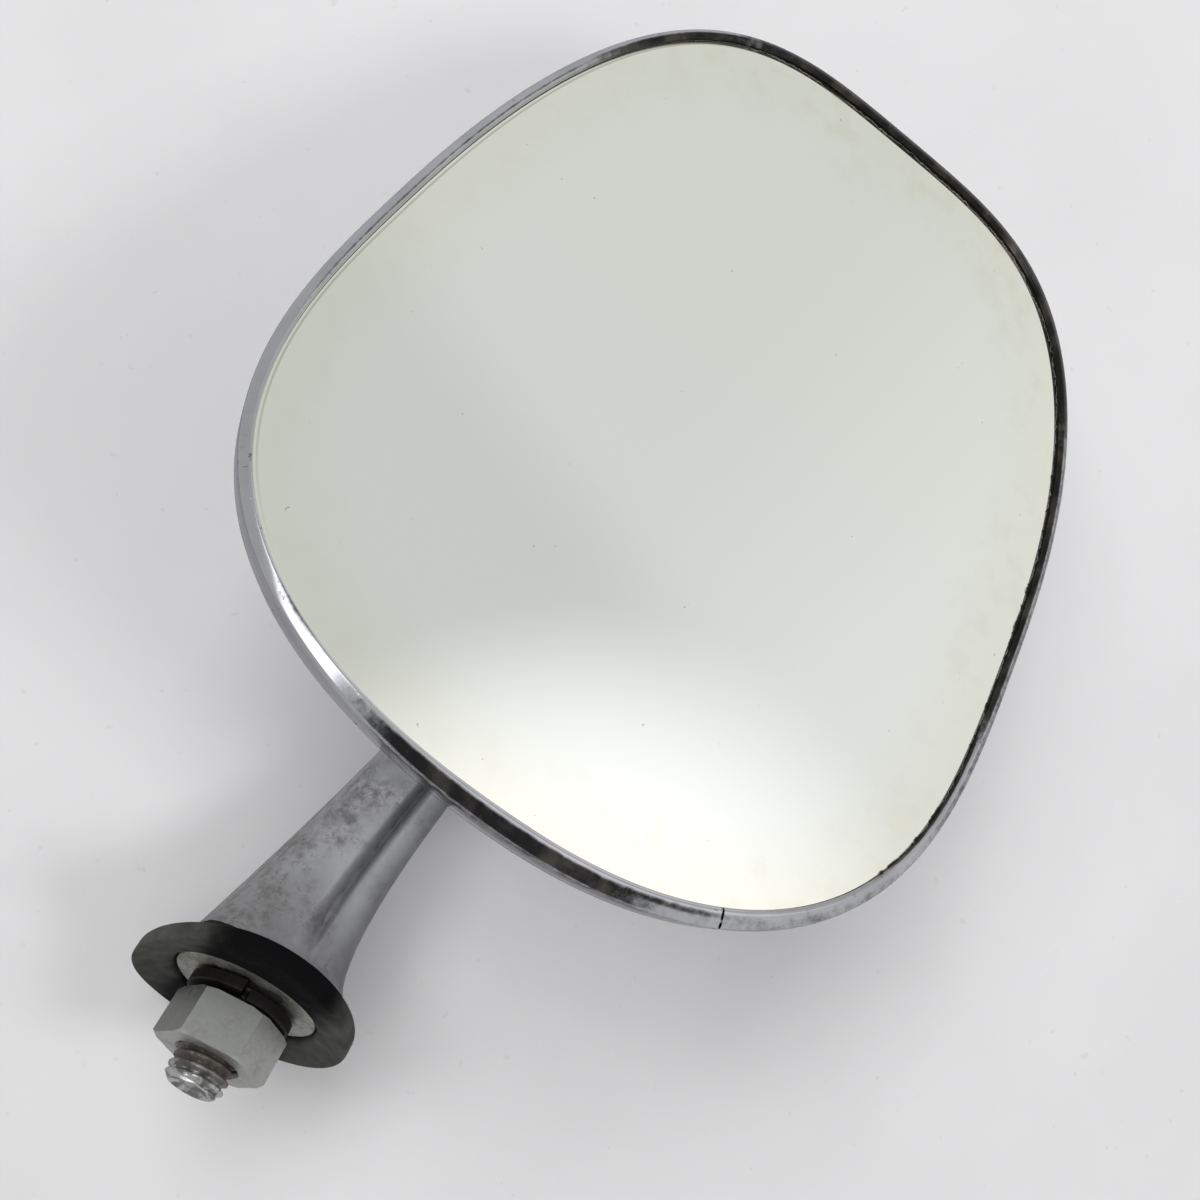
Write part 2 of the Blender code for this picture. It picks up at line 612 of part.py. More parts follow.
def make_arm():
    """Cast arm: a flared foot, a curved grooved shank and a boss for the ball stud."""
    spokes = [Vector((point.x, point.y, 0.0)).normalized() for point in arm_section(0.0)]
    hole = STUD_RADIUS + HOLE_CLEARANCE
    rings = [(hole, STUD_TOP + SEAT_GAP), (hole, FOOT_BOSS_END),
             (FOOT_BOSS_RADIUS, FOOT_BOSS_END), (FOOT_BOSS_RADIUS, FOOT_UNDERSIDE)]
    sections = []
    for radius, height in rings:
        sections.append([spoke * radius + Vector((0.0, 0.0, height)) for spoke in spokes])
    sections += [arm_section(i / ARM_STATIONS) for i in range(ARM_STATIONS + 1)]
    arm = loft("arm", sections, True)

    face = ARM_BOSS_FACE
    floor = face + SHANK_LENGTH + ARM_BOSS_FLOOR
    profile = [(0.0, floor + ARM_BOSS_DOME)]
    for i in range(1, 6):
        angle = math.pi / 2 * i / 5
        profile.append((ARM_BOSS_RADIUS * math.sin(angle), floor + ARM_BOSS_DOME * math.cos(angle)))
    profile += [(ARM_BOSS_RADIUS, face), (0.0, face)]
    boss = in_head(turned("arm_boss", profile), facing="turned")
    combine(arm, boss, "UNION")
    step = face + SHANK_LENGTH
    top = floor + ARM_BOSS_DOME
    screw_hole = SET_SCREW_RADIUS + HOLE_CLEARANCE
    shank_hole = SHANK_RADIUS + HOLE_CLEARANCE
    profile = [(0.0, top + SEAT_GAP), (screw_hole, top + SEAT_GAP), (screw_hole, step),
               (shank_hole, step), (shank_hole, face), (SPOT_FACE_RADIUS, face),
               (SPOT_FACE_RADIUS, face - SPOT_FACE_DEPTH), (0.0, face - SPOT_FACE_DEPTH)]
    combine(arm, in_head(turned("shank_drill", profile), facing="turned"), "DIFFERENCE")
    finish(smooth(arm), (0.52, 0.52, 0.54), 0.35, 1.0)

    end = top - SET_SCREW_SINK
    screw = in_head(rod("set_screw", SET_SCREW_RADIUS, step, end), facing="turned")
    socket = rod("set_screw_socket", SET_SCREW_SOCKET_RADIUS, end - SET_SCREW_SOCKET_DEPTH, end + SEAT_GAP)
    socket.modifiers["turn"].steps = 6
    socket.modifiers["turn"].render_steps = 6
    combine(screw, in_head(socket, facing="turned"), "DIFFERENCE")
    finish(screw, (0.10, 0.10, 0.11), 0.4, 1.0)


def make_gasket():
    """Oval rubber pad with an opening for the foot's boss and the washer."""
    oval = [Vector((p.x * GASKET_WIDTH / 2, p.y * GASKET_LENGTH / 2)) for p in circle(1.0, 2 * ROUND_STEPS)]
    opening = circle(max(FOOT_BOSS_RADIUS, PLAIN_WASHER_RADIUS) + HOLE_CLEARANCE, 2 * ROUND_STEPS)
    gasket = flat_outline("base_gasket", [oval, opening], GASKET_THICKNESS)
    gasket.location = (0.0, 0.0, GASKET_THICKNESS / 2)
    finish(gasket, (0.05, 0.05, 0.05), 0.75, 0.0)


def make_fasteners():
    """Threaded stud, plain washer, split lock washer and hex nut."""
    root = STUD_RADIUS - STUD_THREAD_DEPTH
    profile = [(0.0, STUD_TOP), (STUD_RADIUS, STUD_TOP)]
    crest = FOOT_BOSS_END - STUD_PITCH
    while crest > STUD_END + 1.5 * STUD_PITCH:
        profile += [(STUD_RADIUS, crest), (root, crest - 0.5 * STUD_PITCH)]
        crest -= STUD_PITCH
    profile += [(STUD_RADIUS, crest), (root, STUD_END), (0.0, STUD_END)]
    stud = turned("mounting_stud", profile)
    finish(stud, (0.45, 0.36, 0.30), 0.45, 1.0)

    hole = STUD_RADIUS + HOLE_CLEARANCE
    profile = [(PLAIN_WASHER_RADIUS, PLAIN_WASHER_TOP), (PLAIN_WASHER_RADIUS, PLAIN_WASHER_SINK),
               (hole, PLAIN_WASHER_SINK), (hole, PLAIN_WASHER_TOP)]
    finish(turned("plain_washer", profile, closed=True), (0.62, 0.62, 0.56), 0.4, 1.0)

    low = LOCK_WASHER_TOP - LOCK_WASHER_THICKNESS - LOCK_WASHER_LIFT
    sweep = 2 * math.pi - LOCK_WASHER_SPLIT
    sections = []
    for i in range(ROUND_STEPS + 1):
        angle = LOCK_WASHER_SPLIT_AT + LOCK_WASHER_SPLIT / 2 + sweep * i / ROUND_STEPS
        bottom = low + LOCK_WASHER_LIFT * i / ROUND_STEPS
        top = bottom + LOCK_WASHER_THICKNESS
        corners = [(hole, top), (LOCK_WASHER_RADIUS, top), (LOCK_WASHER_RADIUS, bottom), (hole, bottom)]
        sections.append([Vector((r * math.cos(angle), r * math.sin(angle), z)) for r, z in corners])
    lock = loft("lock_washer", sections, True)
    finish(smooth(lock), (0.04, 0.035, 0.03), 0.45, 1.0)

    corner = NUT_ACROSS_FLATS / math.sqrt(3)
    drop = (corner - NUT_ACROSS_FLATS / 2) * math.tan(NUT_CHAMFER)
    nut = rod("hex_nut", corner, NUT_BOTTOM, NUT_TOP)
    nut.modifiers["turn"].steps = 6
    nut.modifiers["turn"].render_steps = 6
    nut.modifiers["turn"].use_smooth_shade = False
    nut.rotation_euler = (0.0, 0.0, NUT_TURN)
    flat = NUT_ACROSS_FLATS / 2
    wide = corner + HOLE_CLEARANCE
    over = (wide - flat) * math.tan(NUT_CHAMFER)
    profile = [(0.0, NUT_TOP + SEAT_GAP), (flat - SEAT_GAP / math.tan(NUT_CHAMFER), NUT_TOP + SEAT_GAP),
               (wide, NUT_TOP - over), (wide, NUT_BOTTOM - drop), (0.0, NUT_BOTTOM - drop)]
    combine(nut, turned("nut_chamfer", profile), "INTERSECT")
    bore = STUD_RADIUS + THREAD_CLEARANCE
    combine(nut, rod("nut_drill", bore, NUT_BOTTOM - SEAT_GAP, NUT_TOP + SEAT_GAP), "DIFFERENCE")
    finish(nut, (0.60, 0.61, 0.58), 0.4, 1.0)


make_glass()
make_bezel()
make_shell()
make_ball_joint()
make_spring()
make_arm()
make_gasket()
make_fasteners()
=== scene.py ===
"""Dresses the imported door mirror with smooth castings, real threads and aged finishes, on a pale table."""

import logging
import math
from dataclasses import dataclass
from enum import Enum
from typing import Callable, Optional, Sequence

import bpy
from mathutils import Matrix, Vector


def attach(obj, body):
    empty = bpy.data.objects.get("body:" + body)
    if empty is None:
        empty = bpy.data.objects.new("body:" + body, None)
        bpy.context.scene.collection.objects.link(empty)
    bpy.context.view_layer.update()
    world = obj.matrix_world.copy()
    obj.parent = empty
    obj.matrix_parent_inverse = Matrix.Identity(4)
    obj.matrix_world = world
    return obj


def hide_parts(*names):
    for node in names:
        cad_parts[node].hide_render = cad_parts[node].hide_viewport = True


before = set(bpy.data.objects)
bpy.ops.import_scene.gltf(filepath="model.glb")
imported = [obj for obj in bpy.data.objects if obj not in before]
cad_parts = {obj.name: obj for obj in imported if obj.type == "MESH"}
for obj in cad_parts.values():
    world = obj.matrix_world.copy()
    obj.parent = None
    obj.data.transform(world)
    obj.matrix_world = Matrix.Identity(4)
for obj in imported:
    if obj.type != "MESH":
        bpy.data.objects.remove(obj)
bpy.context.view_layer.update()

MM = 0.001
MM_PER_METRE = 1000.0
WELD = 0.002 * MM
MIX_SHARE, MIX_A, MIX_B, MIX_RESULT = 0, 6, 7, 2
LOG = logging.getLogger("door_mirror")

Colour = tuple[float, float, float]
Point = tuple[float, float, float]
Place = Callable[[int, int], Vector]
Piece = bpy.types.Object
Socket = bpy.types.NodeSocket


class Body(Enum):
    """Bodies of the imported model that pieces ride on."""

    ARM = "arm"
    HEAD = "head"
    WASHER = "washer"
    NUT = "nut"


class Join(Enum):
    """Ways in which a tool changes a piece."""

    CUT = "DIFFERENCE"
    FUSE = "UNION"
    KEEP = "INTERSECT"


def deselect() -> None:
    """Leave edit mode and clear the selection."""
    if bpy.context.object and bpy.context.object.mode != "OBJECT":
        bpy.ops.object.mode_set(mode="OBJECT")
    bpy.ops.object.select_all(action="DESELECT")


def activate(piece: Piece) -> None:
    """Make a piece the only selected and active object.

    Args:
        piece: Object to select.
    """
    deselect()
    piece.select_set(True)
    bpy.context.view_layer.objects.active = piece


def apply_modifier(piece: Piece, kind: str, **settings: object) -> None:
    """Add a modifier with its settings and apply it at once.

    Args:
        piece: Object that the modifier changes.
        kind: Blender's type of the modifier.
        settings: The modifier's settings by name.
    """
    activate(piece)
    modifier = piece.modifiers.new(kind.lower(), kind)
    for key, value in settings.items():
        setattr(modifier, key, value)
    bpy.ops.object.modifier_apply(modifier=modifier.name)


def combine(piece: Piece, tool: Piece, way: Join) -> None:
    """Change a piece by a tool, and remove the tool."""
    apply_modifier(piece, "BOOLEAN", operation=way.value, object=tool)
    bpy.data.objects.remove(tool, do_unlink=True)


def shade(piece: Piece, degrees: float) -> None:
    """Shade a piece smooth, with its sharp edges kept."""
    activate(piece)
    bpy.ops.object.shade_smooth_by_angle(angle=math.radians(degrees))


def wrapped(name: str, rows: int, columns: int, place: Place, caps: bool = False,
            fields: Optional[dict[str, Callable[[int, int], float]]] = None) -> Piece:
    """Wrap a grid round a form and weld its seams.

    Args:
        name: Name of the piece.
        rows: Number of steps in the second direction.
        columns: Number of steps in the first direction.
        place: Gives the point of a column and a row, in the shared frame.
        caps: Whether open ends are closed with faces.
        fields: Named values kept on the points for the finish.

    Returns:
        The new piece, at the origin.
    """
    deselect()
    bpy.ops.mesh.primitive_grid_add(x_subdivisions=columns, y_subdivisions=rows, size=1.0)
    piece = bpy.context.object
    piece.name = name
    piece.data.name = name
    steps = [(round((v.co.x + 0.5) * columns), round((v.co.y + 0.5) * rows)) for v in piece.data.vertices]
    for vertex, (column, row) in zip(piece.data.vertices, steps):
        vertex.co = place(column, row)
    for key, value in (fields or {}).items():
        layer = piece.data.attributes.new(key, "FLOAT", "POINT")
        for item, (column, row) in zip(layer.data, steps):
            item.value = value(column, row)
    bpy.ops.object.mode_set(mode="EDIT")
    bpy.ops.mesh.select_all(action="SELECT")
    bpy.ops.mesh.remove_doubles(threshold=WELD)
    if caps:
        bpy.ops.mesh.fill_holes(sides=0)
    bpy.ops.mesh.normals_make_consistent(inside=False)
    bpy.ops.object.mode_set(mode="OBJECT")
    return piece


def turned(name: str, profile: Sequence[tuple[float, float]], axis: Matrix, steps: int = 96,
           closed: bool = True) -> Piece:
    """Turn a profile of (radius, height) points about an axis.

    Args:
        name: Name of the piece.
        profile: Points of the profile; a closed one is joined end to start.
        axis: Frame whose Z axis is the turning axis.
        steps: Facets round the axis.
        closed: Whether the profile is a closed loop.

    Returns:
        The turned piece.
    """
    points = list(profile) + ([profile[0]] if closed else [])

    def place(column: int, row: int) -> Vector:
        """Point of the turned form."""
        radius, height = points[row]
        return axis @ polar(radius, angle_of(column, steps), height)

    return wrapped(name, len(points) - 1, steps, place)


def rod(name: str, radius: float, ends: tuple[float, float], axis: Matrix, steps: int = 96) -> Piece:
    """Turn a plain rod between two heights on an axis."""
    profile = [(0.0, ends[0]), (radius, ends[0]), (radius, ends[1]), (0.0, ends[1])]
    return turned(name, profile, axis, steps, closed=False)


def bend(start: Vector, corner: Vector, end: Vector, steps: int) -> list[tuple[float, float]]:
    """Smooth bend round a corner.

    Args:
        start: Where the bend starts.
        corner: Corner that it rounds off.
        end: Where the bend ends.
        steps: Steps along the bend.

    Returns:
        The points of the bend.
    """
    points = []
    for k in range(steps + 1):
        t = k / steps
        point = start * (1 - t) ** 2 + corner * 2 * t * (1 - t) + end * t * t
        points.append((point.x, point.y))
    return points


def rounded_profile(corners: Sequence[tuple[float, float]], radius: float,
                    steps: int = 4) -> list[tuple[float, float]]:
    """Round the corners of a closed profile.

    Args:
        corners: Corner points in order.
        radius: Length cut off each side of a corner.
        steps: Points on each rounded corner.

    Returns:
        The points of the rounded profile.
    """
    result = []
    most = 0.45
    count = len(corners)
    for i, corner in enumerate(corners):
        here = Vector(corner)
        before = Vector(corners[i - 1])
        after = Vector(corners[(i + 1) % count])
        cut = min(radius, most * (here - before).length, most * (here - after).length)
        start = here + (before - here).normalized() * cut
        end = here + (after - here).normalized() * cut
        result += bend(start, here, end, steps)
    return result


def ease(value: float, low: float, high: float) -> float:
    """Smooth step from 0 at low to 1 at high."""
    t = min(1.0, max(0.0, (value - low) / (high - low)))
    return t * t * (3 - 2 * t)


def polar(radius: float, angle: float, height: float) -> Vector:
    """Point at a radius, an angle and a height."""
    return Vector((radius * math.cos(angle), radius * math.sin(angle), height))


def angle_of(column: int, columns: int) -> float:
    """Angle of a step round a closed form."""
    return 2 * math.pi * (column % columns) / columns


def signed_power(value: float, power: float) -> float:
    """A power that keeps the sign of its base."""
    return math.copysign(abs(value) ** power, value)


def shaded(colour: Colour, share: float) -> Colour:
    """A colour made darker: a share of each of its parts."""
    return tuple(share * part for part in colour)


class Wiring:
    """Small builder for one node tree."""

    def __init__(self, tree: bpy.types.NodeTree, coords: str) -> None:
        """Start on a tree with one kind of coordinates.

        Args:
            tree: Node tree to build in.
            coords: Kind of coordinates that patterns follow.
        """
        self.nodes = tree.nodes
        self.links = tree.links
        self.coords = self.node("ShaderNodeTexCoord").outputs[coords]

    def feed(self, socket: Socket, value: object) -> None:
        """Link a socket to another, or set it to a constant.

        Args:
            socket: Input that is fed.
            value: Socket, number, colour or vector.
        """
        if isinstance(value, Socket):
            self.links.new(value, socket)
        elif isinstance(value, tuple) and len(value) == 3 and socket.type == "RGBA":
            socket.default_value = (*value, 1.0)
        else:
            socket.default_value = value

    def node(self, kind: str, inputs: Optional[dict[object, object]] = None,
             **settings: object) -> bpy.types.Node:
        """Add a node.

        Args:
            kind: Blender's type of the node.
            inputs: Links and constants, by the input's name or number.
            settings: The node's own settings by name.

        Returns:
            The new node.
        """
        node = self.nodes.new(kind)
        for key, value in settings.items():
            setattr(node, key, value)
        for key, value in (inputs or {}).items():
            self.feed(node.inputs[key], value)
        return node

    def attribute(self, name: str) -> Socket:
        """Value kept on the piece's points."""
        return self.node("ShaderNodeAttribute", attribute_name=name).outputs["Fac"]

    def axis(self, index: int) -> Socket:
        """One of the three coordinates."""
        return self.node("ShaderNodeSeparateXYZ", {0: self.coords}).outputs[index]

    def noise(self, size_mm: float, detail: float = 4.0, rough: float = 0.55,
              stretch: Optional[Point] = None) -> Socket:
        """Cloudy noise.

        Args:
            size_mm: About the size of its features, in millimetres.
            detail: Number of finer layers.
            rough: Strength of the finer layers.
            stretch: Scale of the pattern along each axis.

        Returns:
            The noise, from 0 to 1.
        """
        source = self.coords
        if stretch:
            source = self.node("ShaderNodeMapping", {"Vector": source, "Scale": stretch}).outputs["Vector"]
        inputs = {"Vector": source, "Scale": MM_PER_METRE / size_mm, "Detail": detail, "Roughness": rough}
        return self.node("ShaderNodeTexNoise", inputs).outputs["Fac"]

    def band(self, value: object, low: float, high: float, start: float = 0.0, end: float = 1.0) -> Socket:
        """Map a value smoothly from one range to another, with limits.

        Args:
            value: What is mapped.
            low: Value where the band starts.
            high: Value where the band ends.
            start: Result up to the band's start.
            end: Result from the band's end.

        Returns:
            The mapped value.
        """
        limits = {"Value": value, "From Min": low, "From Max": high, "To Min": start, "To Max": end}
        return self.node("ShaderNodeMapRange", limits, interpolation_type="SMOOTHSTEP").outputs["Result"]

    def calc(self, operation: str, a: object, b: object = 0.0) -> Socket:
        """Arithmetic on two values."""
        return self.node("ShaderNodeMath", {0: a, 1: b}, operation=operation).outputs[0]

    def times(self, a: object, b: object) -> Socket:
        """Product of two values."""
        return self.calc("MULTIPLY", a, b)

    def plus(self, a: object, b: object) -> Socket:
        """Sum of two values."""
        return self.calc("ADD", a, b)

    def minus(self, a: object, b: object) -> Socket:
        """Difference of two values."""
        return self.calc("SUBTRACT", a, b)

    def larger(self, a: object, b: object) -> Socket:
        """The larger of two values."""
        return self.calc("MAXIMUM", a, b)

    def mix(self, share: object, a: object, b: object) -> Socket:
        """Mix two colours."""
        inputs = {MIX_SHARE: share, MIX_A: a, MIX_B: b}
        return self.node("ShaderNodeMix", inputs, data_type="RGBA").outputs[MIX_RESULT]

    def along(self, heading: Sequence[float]) -> Socket:
        """Share of the coordinates that runs along a heading."""
        inputs = {0: self.coords, 1: Vector(heading).normalized()}
        return self.node("ShaderNodeVectorMath", inputs, operation="DOT_PRODUCT").outputs["Value"]

    def towards(self, heading: Sequence[float], low: float, high: float) -> Socket:
        """How near the coordinates come to a heading, from angles in degrees."""
        return self.band(self.along(heading), math.cos(math.radians(low)), math.cos(math.radians(high)))

    def choose(self, share: Socket, a: Socket, b: Socket) -> Socket:
        """Mix two shaders."""
        return self.node("ShaderNodeMixShader", {0: share, 1: a, 2: b}).outputs[0]


class Graph(Wiring):
    """Builder for a material with one principled shader."""

    def __init__(self, name: str) -> None:
        """Start a material on object coordinates.

        Args:
            name: Name of the material.
        """
        self.material = bpy.data.materials.new(name)
        self.material.use_nodes = True
        super().__init__(self.material.node_tree, "Object")
        self.shader = self.nodes["Principled BSDF"]

    def set(self, key: str, value: object) -> None:
        """Feed one input of the shader."""
        self.feed(self.shader.inputs[key], value)

    def facing(self, index: int) -> Socket:
        """One part of the surface's direction."""
        normal = self.node("ShaderNodeNewGeometry").outputs["Normal"]
        return self.node("ShaderNodeSeparateXYZ", {0: normal}).outputs[index]

    def crevice(self, reach_mm: float) -> Socket:
        """How closed in a place is: 0 in the open, 1 in a crevice.

        Args:
            reach_mm: How far the surroundings count, in millimetres.

        Returns:
            The share that is closed in.
        """
        inputs = {"Distance": reach_mm * MM}
        node = self.node("ShaderNodeAmbientOcclusion", inputs, samples=6, only_local=True)
        return self.band(node.outputs["AO"], 0.45, 0.95, 1.0, 0.0)

    def bump(self, height: Socket, depth_mm: float, strength: float = 0.5) -> None:
        """Give the shader's normal a relief."""
        inputs = {"Height": height, "Strength": strength, "Distance": depth_mm * MM}
        self.set("Normal", self.node("ShaderNodeBump", inputs).outputs["Normal"])


@dataclass(frozen=True)
class Finish:
    """Look of a piece: a named material and how its nodes are wired."""

    name: str

    def wire(self, g: Graph) -> None:
        """Wire the material's nodes."""
        raise NotImplementedError

    def material(self) -> bpy.types.Material:
        """Build the material.

        Returns:
            The new material.
        """
        g = Graph(self.name)
        self.wire(g)
        return g.material


@dataclass(frozen=True)
class ChromeFinish(Finish):
    """Plated steel with haze, fine scratches and rust specks; where asked, painted dark reflections mottled
    with grime tones.
    """

    colour: Colour = (0.62, 0.62, 0.655)
    roughness: float = 0.10
    rust: float = 0.5
    dark_reflection: float = 0.0
    rust_colour: Colour = (0.075, 0.045, 0.030)
    reflection_grime_dark: Colour = (0.011, 0.010, 0.010)
    reflection_grime_pale: Colour = (0.060, 0.053, 0.046)

    def wire(self, g: Graph) -> None:
        """Wire the chrome material.

        Args:
            g: Builder of the material.
        """
        haze = g.noise(9.0, 5.0, 0.6)
        scratch = g.noise(1.4, 2.0, 0.5, (1.0, 0.25, 1.0))
        speck = g.times(g.band(g.noise(1.1, 3.0, 0.6), 0.62, 0.70), g.band(g.noise(14.0), 0.50, 0.64))
        rust = g.times(speck, self.rust)
        plate = g.mix(g.band(haze, 0.35, 0.70), self.colour, shaded(self.colour, 0.86))
        # Painted dark reflection: a point attribute darkens the plating where the rim mirrors dark
        # surroundings, mottled with grime tones.
        if self.dark_reflection:
            ragged = g.plus(g.attribute("dark_reflection"), g.times(g.minus(g.noise(1.5, 4.0, 0.7), 0.5), 0.9))
            reflection_grime = g.mix(g.band(g.noise(5.0, 4.0, 0.6), 0.40, 0.66), self.reflection_grime_dark, self.reflection_grime_pale)
            plate = g.mix(g.times(g.band(ragged, 0.15, 0.85), self.dark_reflection), plate, reflection_grime)
        g.set("Base Color", g.mix(rust, plate, self.rust_colour))
        shine = g.band(haze, 0.3, 0.75, self.roughness * 0.6, self.roughness * 1.7)
        shine = g.plus(shine, g.times(scratch, 0.03))
        g.set("Roughness", g.plus(shine, g.times(rust, 0.5)))
        g.set("Metallic", g.minus(1.0, g.times(rust, 0.8)))
        g.bump(g.minus(g.times(scratch, 0.15), rust), 0.05)


@dataclass(frozen=True)
class CastFinish(Finish):
    """Plated casting that has dulled: pits, dark specks and brown mottling, with painted shade on its
    right-facing sides, in crevices and in the groove.
    """

    colour: Colour = (0.470, 0.470, 0.495)
    worn_colour: Colour = (0.215, 0.205, 0.190)
    blot_colour: Colour = (0.118, 0.112, 0.104)
    pit_colour: Colour = (0.070, 0.066, 0.060)
    right_shade_colour: Colour = (0.130, 0.128, 0.135)
    crease_shade_colour: Colour = (0.034, 0.036, 0.040)

    def wire(self, g: Graph) -> None:
        """Wire the cast plate material.

        Args:
            g: Builder of the material.
        """
        cloud = g.noise(9.0, 6.0, 0.65)
        fine = g.noise(0.9, 4.0, 0.6)
        low = g.times(g.band(g.axis(0), 0.003, -0.009), g.band(g.axis(2), 0.066, 0.012))
        worn = g.plus(g.noise(8.0, 4.0, 0.6), g.times(low, 0.30))
        pits = g.times(g.band(g.noise(0.8, 3.0, 0.6), 0.56, 0.72), g.band(worn, 0.44, 0.70))
        blots = g.times(g.band(g.noise(3.0, 6.0, 0.75), 0.40, 0.66), g.band(worn, 0.42, 0.74))
        plate = g.mix(g.band(cloud, 0.32, 0.70), self.colour, shaded(self.colour, 0.78))
        plate = g.mix(g.times(low, 0.35), plate, self.worn_colour)
        plate = g.mix(g.times(blots, 0.80), plate, self.blot_colour)
        plate = g.mix(g.times(pits, 0.55), plate, self.pit_colour)
        # Painted shade: sides that face right are darkened.
        plate = g.mix(g.band(g.facing(0), 0.10, 0.75, 0.0, 0.45), plate, self.right_shade_colour)
        # Painted shade: crevices found by ambient occlusion and the groove's crease attribute are darkened,
        # and made duller too.
        grime_and_shade = g.larger(g.times(g.crevice(2.0), 0.45), g.attribute("crease"))
        g.set("Base Color", g.mix(g.times(grime_and_shade, 0.95), plate, self.crease_shade_colour))
        dull = g.larger(g.larger(pits, blots), grime_and_shade)
        g.set("Roughness", g.plus(g.band(cloud, 0.3, 0.7, 0.44, 0.56), g.times(dull, 0.20)))
        g.set("Metallic", g.band(dull, 0.0, 1.0, 0.72, 0.30))
        g.bump(g.minus(g.times(fine, 0.5), pits), 0.08)


@dataclass(frozen=True)
class SilverFinish(Finish):
    """Silvered glass that has lost its silver along one side, with a painted reflection of the rim's lip near
    its upper left edge.
    """

    colour: Colour = (0.865, 0.875, 0.848)
    loss_width: float = 0.75
    upper_fade: Colour = (0.97, 0.985, 0.955)
    yellow_colour: Colour = (0.835, 0.825, 0.715)
    stain_colour: Colour = (0.60, 0.52, 0.36)
    speck_colour: Colour = (0.30, 0.27, 0.22)
    lip_reflection_colour: Colour = (0.20, 0.20, 0.18)
    bare_colour: Colour = (0.022, 0.020, 0.017)

    def wire(self, g: Graph) -> None:
        """Wire the mirror material from the distance to the edge, in millimetres.

        Args:
            g: Builder of the material.
        """
        edge = g.attribute("edge_mm")
        across, up = g.axis(0), g.axis(2)
        side = g.plus(g.times(across, 12.0), g.times(up, 9.0))
        worn = g.band(side, 0.78, 1.30)
        ragged = g.plus(g.times(g.noise(1.5, 5.0, 0.7), 2.6), g.times(g.noise(18.0), 3.0))
        reach = g.times(g.minus(ragged, 2.35), worn)
        loss = g.band(g.minus(g.times(reach, self.loss_width), edge), -0.15, 0.15)
        stain = g.times(g.band(g.minus(edge, g.times(g.noise(24.0), 18.0)), -4.0, 7.0, 1.0, 0.0),
                        g.band(side, 0.2, 1.2, 0.25, 0.75))
        stain = g.times(stain, g.band(g.noise(5.0, 5.0), 0.42, 0.75))
        yellow = g.band(edge, 0.5, 15.0, 1.0, 0.0)
        specks = g.band(g.noise(1.3, 2.0), 0.755, 0.79)
        upper = tuple(part * kept for part, kept in zip(self.colour, self.upper_fade))
        tint = g.mix(g.band(up, 0.03, 0.15), self.colour, upper)
        tint = g.mix(g.times(yellow, 0.60), tint, self.yellow_colour)
        tint = g.mix(g.times(stain, 0.20), tint, self.stain_colour)
        tint = g.mix(g.times(specks, 0.5), tint, self.speck_colour)
        # Painted reflection: a thin grey line near the upper left edge stands in for the rim's lip mirrored
        # in the silver behind the glass.
        lip_reflection = g.times(g.band(edge, 0.35, 0.50), g.band(edge, 0.60, 0.85, 1.0, 0.0))
        left = g.minus(g.times(up, 6.0), g.times(across, 14.0))
        lip_reflection = g.times(lip_reflection, g.band(left, 0.62, 1.05))
        tint = g.mix(g.times(lip_reflection, 0.42), tint, self.lip_reflection_colour)
        g.set("Base Color", g.mix(loss, tint, self.bare_colour))
        g.set("Metallic", g.minus(1.0, loss))
        haze = g.band(g.noise(30.0, 3.0), 0.3, 0.7, 0.025, 0.055)
        g.set("Roughness", g.plus(haze, g.times(g.larger(loss, stain), 0.18)))
        g.set("Coat Weight", 0.25)
        g.set("Coat Roughness", 0.03)


@dataclass(frozen=True)
class RubberFinish(Finish):
    """Old rubber: dark, with dust and painted light on its open ends, while the middle stays dark as painted
    shade, and a faint grain.
    """

    colour: Colour = (0.0045, 0.0045, 0.005)
    dust_and_light: Colour = (0.074, 0.073, 0.066)
    dust_and_light_from: float = 8.5

    def wire(self, g: Graph) -> None:
        """Wire the rubber material.

        Args:
            g: Builder of the material.
        """
        # Dust and painted light: the ends away from the middle are lighter, and the middle stays dark as
        # painted shade.
        away = g.times(g.calc("ABSOLUTE", g.axis(0)), MM_PER_METRE)
        patchy = g.times(g.minus(g.noise(5.0, 4.0), 0.5), 5.0)
        open_ends = g.band(g.plus(away, patchy), self.dust_and_light_from, self.dust_and_light_from + 6.0)
        cloud = g.band(g.noise(4.0, 5.0, 0.6), 0.25, 0.75, 0.55, 1.0)
        dust_and_light = g.times(open_ends, cloud)
        g.set("Base Color", g.mix(dust_and_light, self.colour, self.dust_and_light))
        g.set("Roughness", g.band(g.noise(3.0), 0.3, 0.7, 0.60, 0.80))
        g.set("Specular IOR Level", g.band(dust_and_light, 0.0, 1.0, 0.03, 0.16))
        g.bump(g.noise(0.35, 3.0, 0.6), 0.05)


